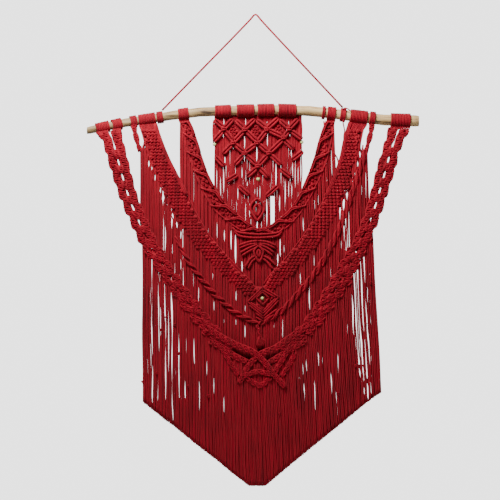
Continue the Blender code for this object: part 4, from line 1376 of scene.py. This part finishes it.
# The hanging cord and its ties.
hanging = {
    "route": (
        (-252.0, 259.8), (-190.0, 196.0), (-128.0, 132.5), (-66.0, 69.0), (-14.0, 14.8), (-5.0, 3.8),
        (0.0, 1.2), (5.0, 3.9), (14.0, 15.4), (64.0, 69.6), (122.0, 131.5), (180.0, 193.4), (235.5, 252.7),
    ),
    "step": 12.0,
    "thickness": 5.0,
    "sides": 12,
    # Loose ends at the right tie: across, drop, y. The low one's y goes by its drop, the high one's by
    # how far across it is.
    "lowTail": ((236, 286, -17), (236, 297, -18), (240, 316, -16), (238, 328, -15), (237.5, 340, -15)),
    "highTail": ((236, 259, -14), (240, 255, -17), (248, 257, -19), (257, 264, -18)),
    "tailStep": 3.0,
    "tailCord": 1.7,
}


def makeHanging():
    line = softLine(hanging["route"], hanging["step"])["points"]
    path = np.column_stack((line[:, 0], np.zeros(len(line)), -line[:, 1])) * mm
    bundle = newBundle()
    addTube(bundle, path, hanging["thickness"] / 2 * mm, hanging["sides"])
    cord = makePiece("hanging_cotton_cord", bundle, redCotton, ["hanging_cord"])
    for side, tails in (("Left", ()), ("Right", (("lowTail", 1), ("highTail", 0)))):
        bundle = newBundle()
        addWraps(bundle, wraps["tie" + side])
        for tail, column in tails:
            rows = np.array(hanging[tail], float)
            points = softLine(rows[:, :2], hanging["tailStep"])["points"]
            y = np.interp(points[:, column], rows[:, column], rows[:, 2])
            addTube(bundle, np.column_stack((points[:, 0], y, -points[:, 1])) * mm, hanging["tailCord"] * mm)
        makePiece(f"cord_tie_{side.lower()}", bundle, redCotton, [f"tie_{side.lower()}"])


makeHanging()

# The beads.
beads = {
    "size": 9.5,
    "hole": 2.1,             # its radius
    "sides": 28,
    "rounds": 16,
    "out": 1.5,
    "places": {
        "left": ("centre", -111.0, 352), "right": ("centre", 125.0, 346),
        "middle": ("centre", 7.0, 446), "diamond": ("middle", 18.0, 767),
    },
}


def makeBeads():
    finish = beadFinish()
    full, hole = beads["size"] / 2 * mm, beads["hole"] * mm
    wall = (full - hole) / 2
    tall = math.sqrt(full ** 2 - hole ** 2)
    for name, (panel, across, drop) in beads["places"].items():
        bpy.ops.object.select_all(action="DESELECT")
        bpy.ops.mesh.primitive_torus_add(
            major_segments=beads["sides"], minor_segments=beads["rounds"],
            major_radius=full - wall, minor_radius=wall,
        )
        piece = bpy.context.object
        for vert in piece.data.vertices:
            # The ring's outer half is drawn out into a ball, and its inner half is the hole.
            spread = math.hypot(vert.co.x, vert.co.y)
            height = tall * vert.co.z / wall
            wanted = math.sqrt(full ** 2 - height ** 2) if spread >= full - wall else hole
            vert.co = (vert.co.x * wanted / spread, vert.co.y * wanted / spread, height)
        piece.location = (across * mm, -(float(forwardAt(panel, drop)) + beads["out"]) * mm, -drop * mm)
        bpy.ops.object.shade_smooth()
        finishPiece(piece, f"wooden_bead_{name}", finish, [f"bead_{name}"])
    print("beads made")


makeBeads()

# Floor, light and camera.
stage = {
    "floorDrop": 1450.0,
    "floorWidth": 5.0,
    "floorBack": 1.0,
    "floorFront": 3.0,
    "floorColour": (0.80, 0.80, 0.79),
    "floorRoughness": 0.9,
    "sky": 0.07,             # how much the surroundings light the hanging
    "background": 2.8,       # how bright they look
}


def makeStage():
    bpy.ops.object.select_all(action="DESELECT")
    depth = stage["floorBack"] + stage["floorFront"]
    bpy.ops.mesh.primitive_plane_add(
        size=1, location=(0, (stage["floorBack"] - stage["floorFront"]) / 2, -stage["floorDrop"] * mm),
    )
    floor = bpy.context.object
    floor.scale = (stage["floorWidth"], depth, 1)
    bpy.ops.object.transform_apply(location=True, rotation=True, scale=True)
    floor.name = "floor"
    finish, _, shader = newFinish("paleFloor", stage["floorRoughness"])
    shader.inputs["Base Color"].default_value = (*stage["floorColour"], 1.0)
    floor.data.materials.append(finish)

    world = bpy.data.worlds.new("paleStudio")
    world.use_nodes = True
    tree = world.node_tree
    seen = node(tree, "ShaderNodeLightPath")
    plain, bright = tree.nodes["Background"], node(tree, "ShaderNodeBackground")
    for surroundings, strength in ((plain, stage["sky"]), (bright, stage["background"])):
        surroundings.inputs["Color"].default_value = (1.0, 1.0, 1.0, 1.0)
        surroundings.inputs["Strength"].default_value = strength
    mix = node(tree, "ShaderNodeMixShader")
    tree.links.new(seen.outputs["Is Camera Ray"], mix.inputs[0])
    tree.links.new(plain.outputs[0], mix.inputs[1])
    tree.links.new(bright.outputs[0], mix.inputs[2])
    tree.links.new(mix.outputs[0], tree.nodes["World Output"].inputs["Surface"])
    bpy.context.scene.world = world


# Soft boxes: place, what they face, width, power.
lights = {
    "keyBox": {"place": (-0.42, -0.8, 0.8), "aim": (0.0, 0.0, 0.3), "size": 0.6, "power": 72.0},
    "fillBox": {"place": (1.3, -2.0, 0.8), "aim": (0.0, 0.0, -0.2), "size": 1.6, "power": 5.0},
    "backBox": {"place": (0.3, 2.2, 0.6), "aim": (0.0, 0.0, -0.6), "size": 2.0, "power": 36.0},
}


def makeLights():
    for name, sizes in lights.items():
        data = bpy.data.lights.new(name, "AREA")
        data.size = sizes["size"]
        data.energy = sizes["power"]
        light = bpy.data.objects.new(name, data)
        light.location = sizes["place"]
        heading = Vector(sizes["aim"]) - Vector(sizes["place"])
        light.rotation_euler = heading.to_track_quat("-Z", "Y").to_euler()
        bpy.context.scene.collection.objects.link(light)


# The photograph is 500 pixels wide, each about 2.7 mm on the hanging.
view = {
    "distance": 6.0, "frameWidth": 1.350, "across": -0.0149, "height": -0.6372, "sensor": 36.0,
    "farthest": 50.0,
}


def makeCamera():
    data = bpy.data.cameras.new("camera")
    data.sensor_width = view["sensor"]
    data.lens = view["sensor"] * view["distance"] / view["frameWidth"]
    data.clip_end = view["farthest"]
    camera = bpy.data.objects.new("camera", data)
    camera.location = (view["across"], -view["distance"], view["height"])
    camera.rotation_euler = (math.pi / 2, 0, 0)
    bpy.context.scene.collection.objects.link(camera)
    bpy.context.scene.camera = camera


makeStage()
makeLights()
makeCamera()
print("floor, lights and camera made")
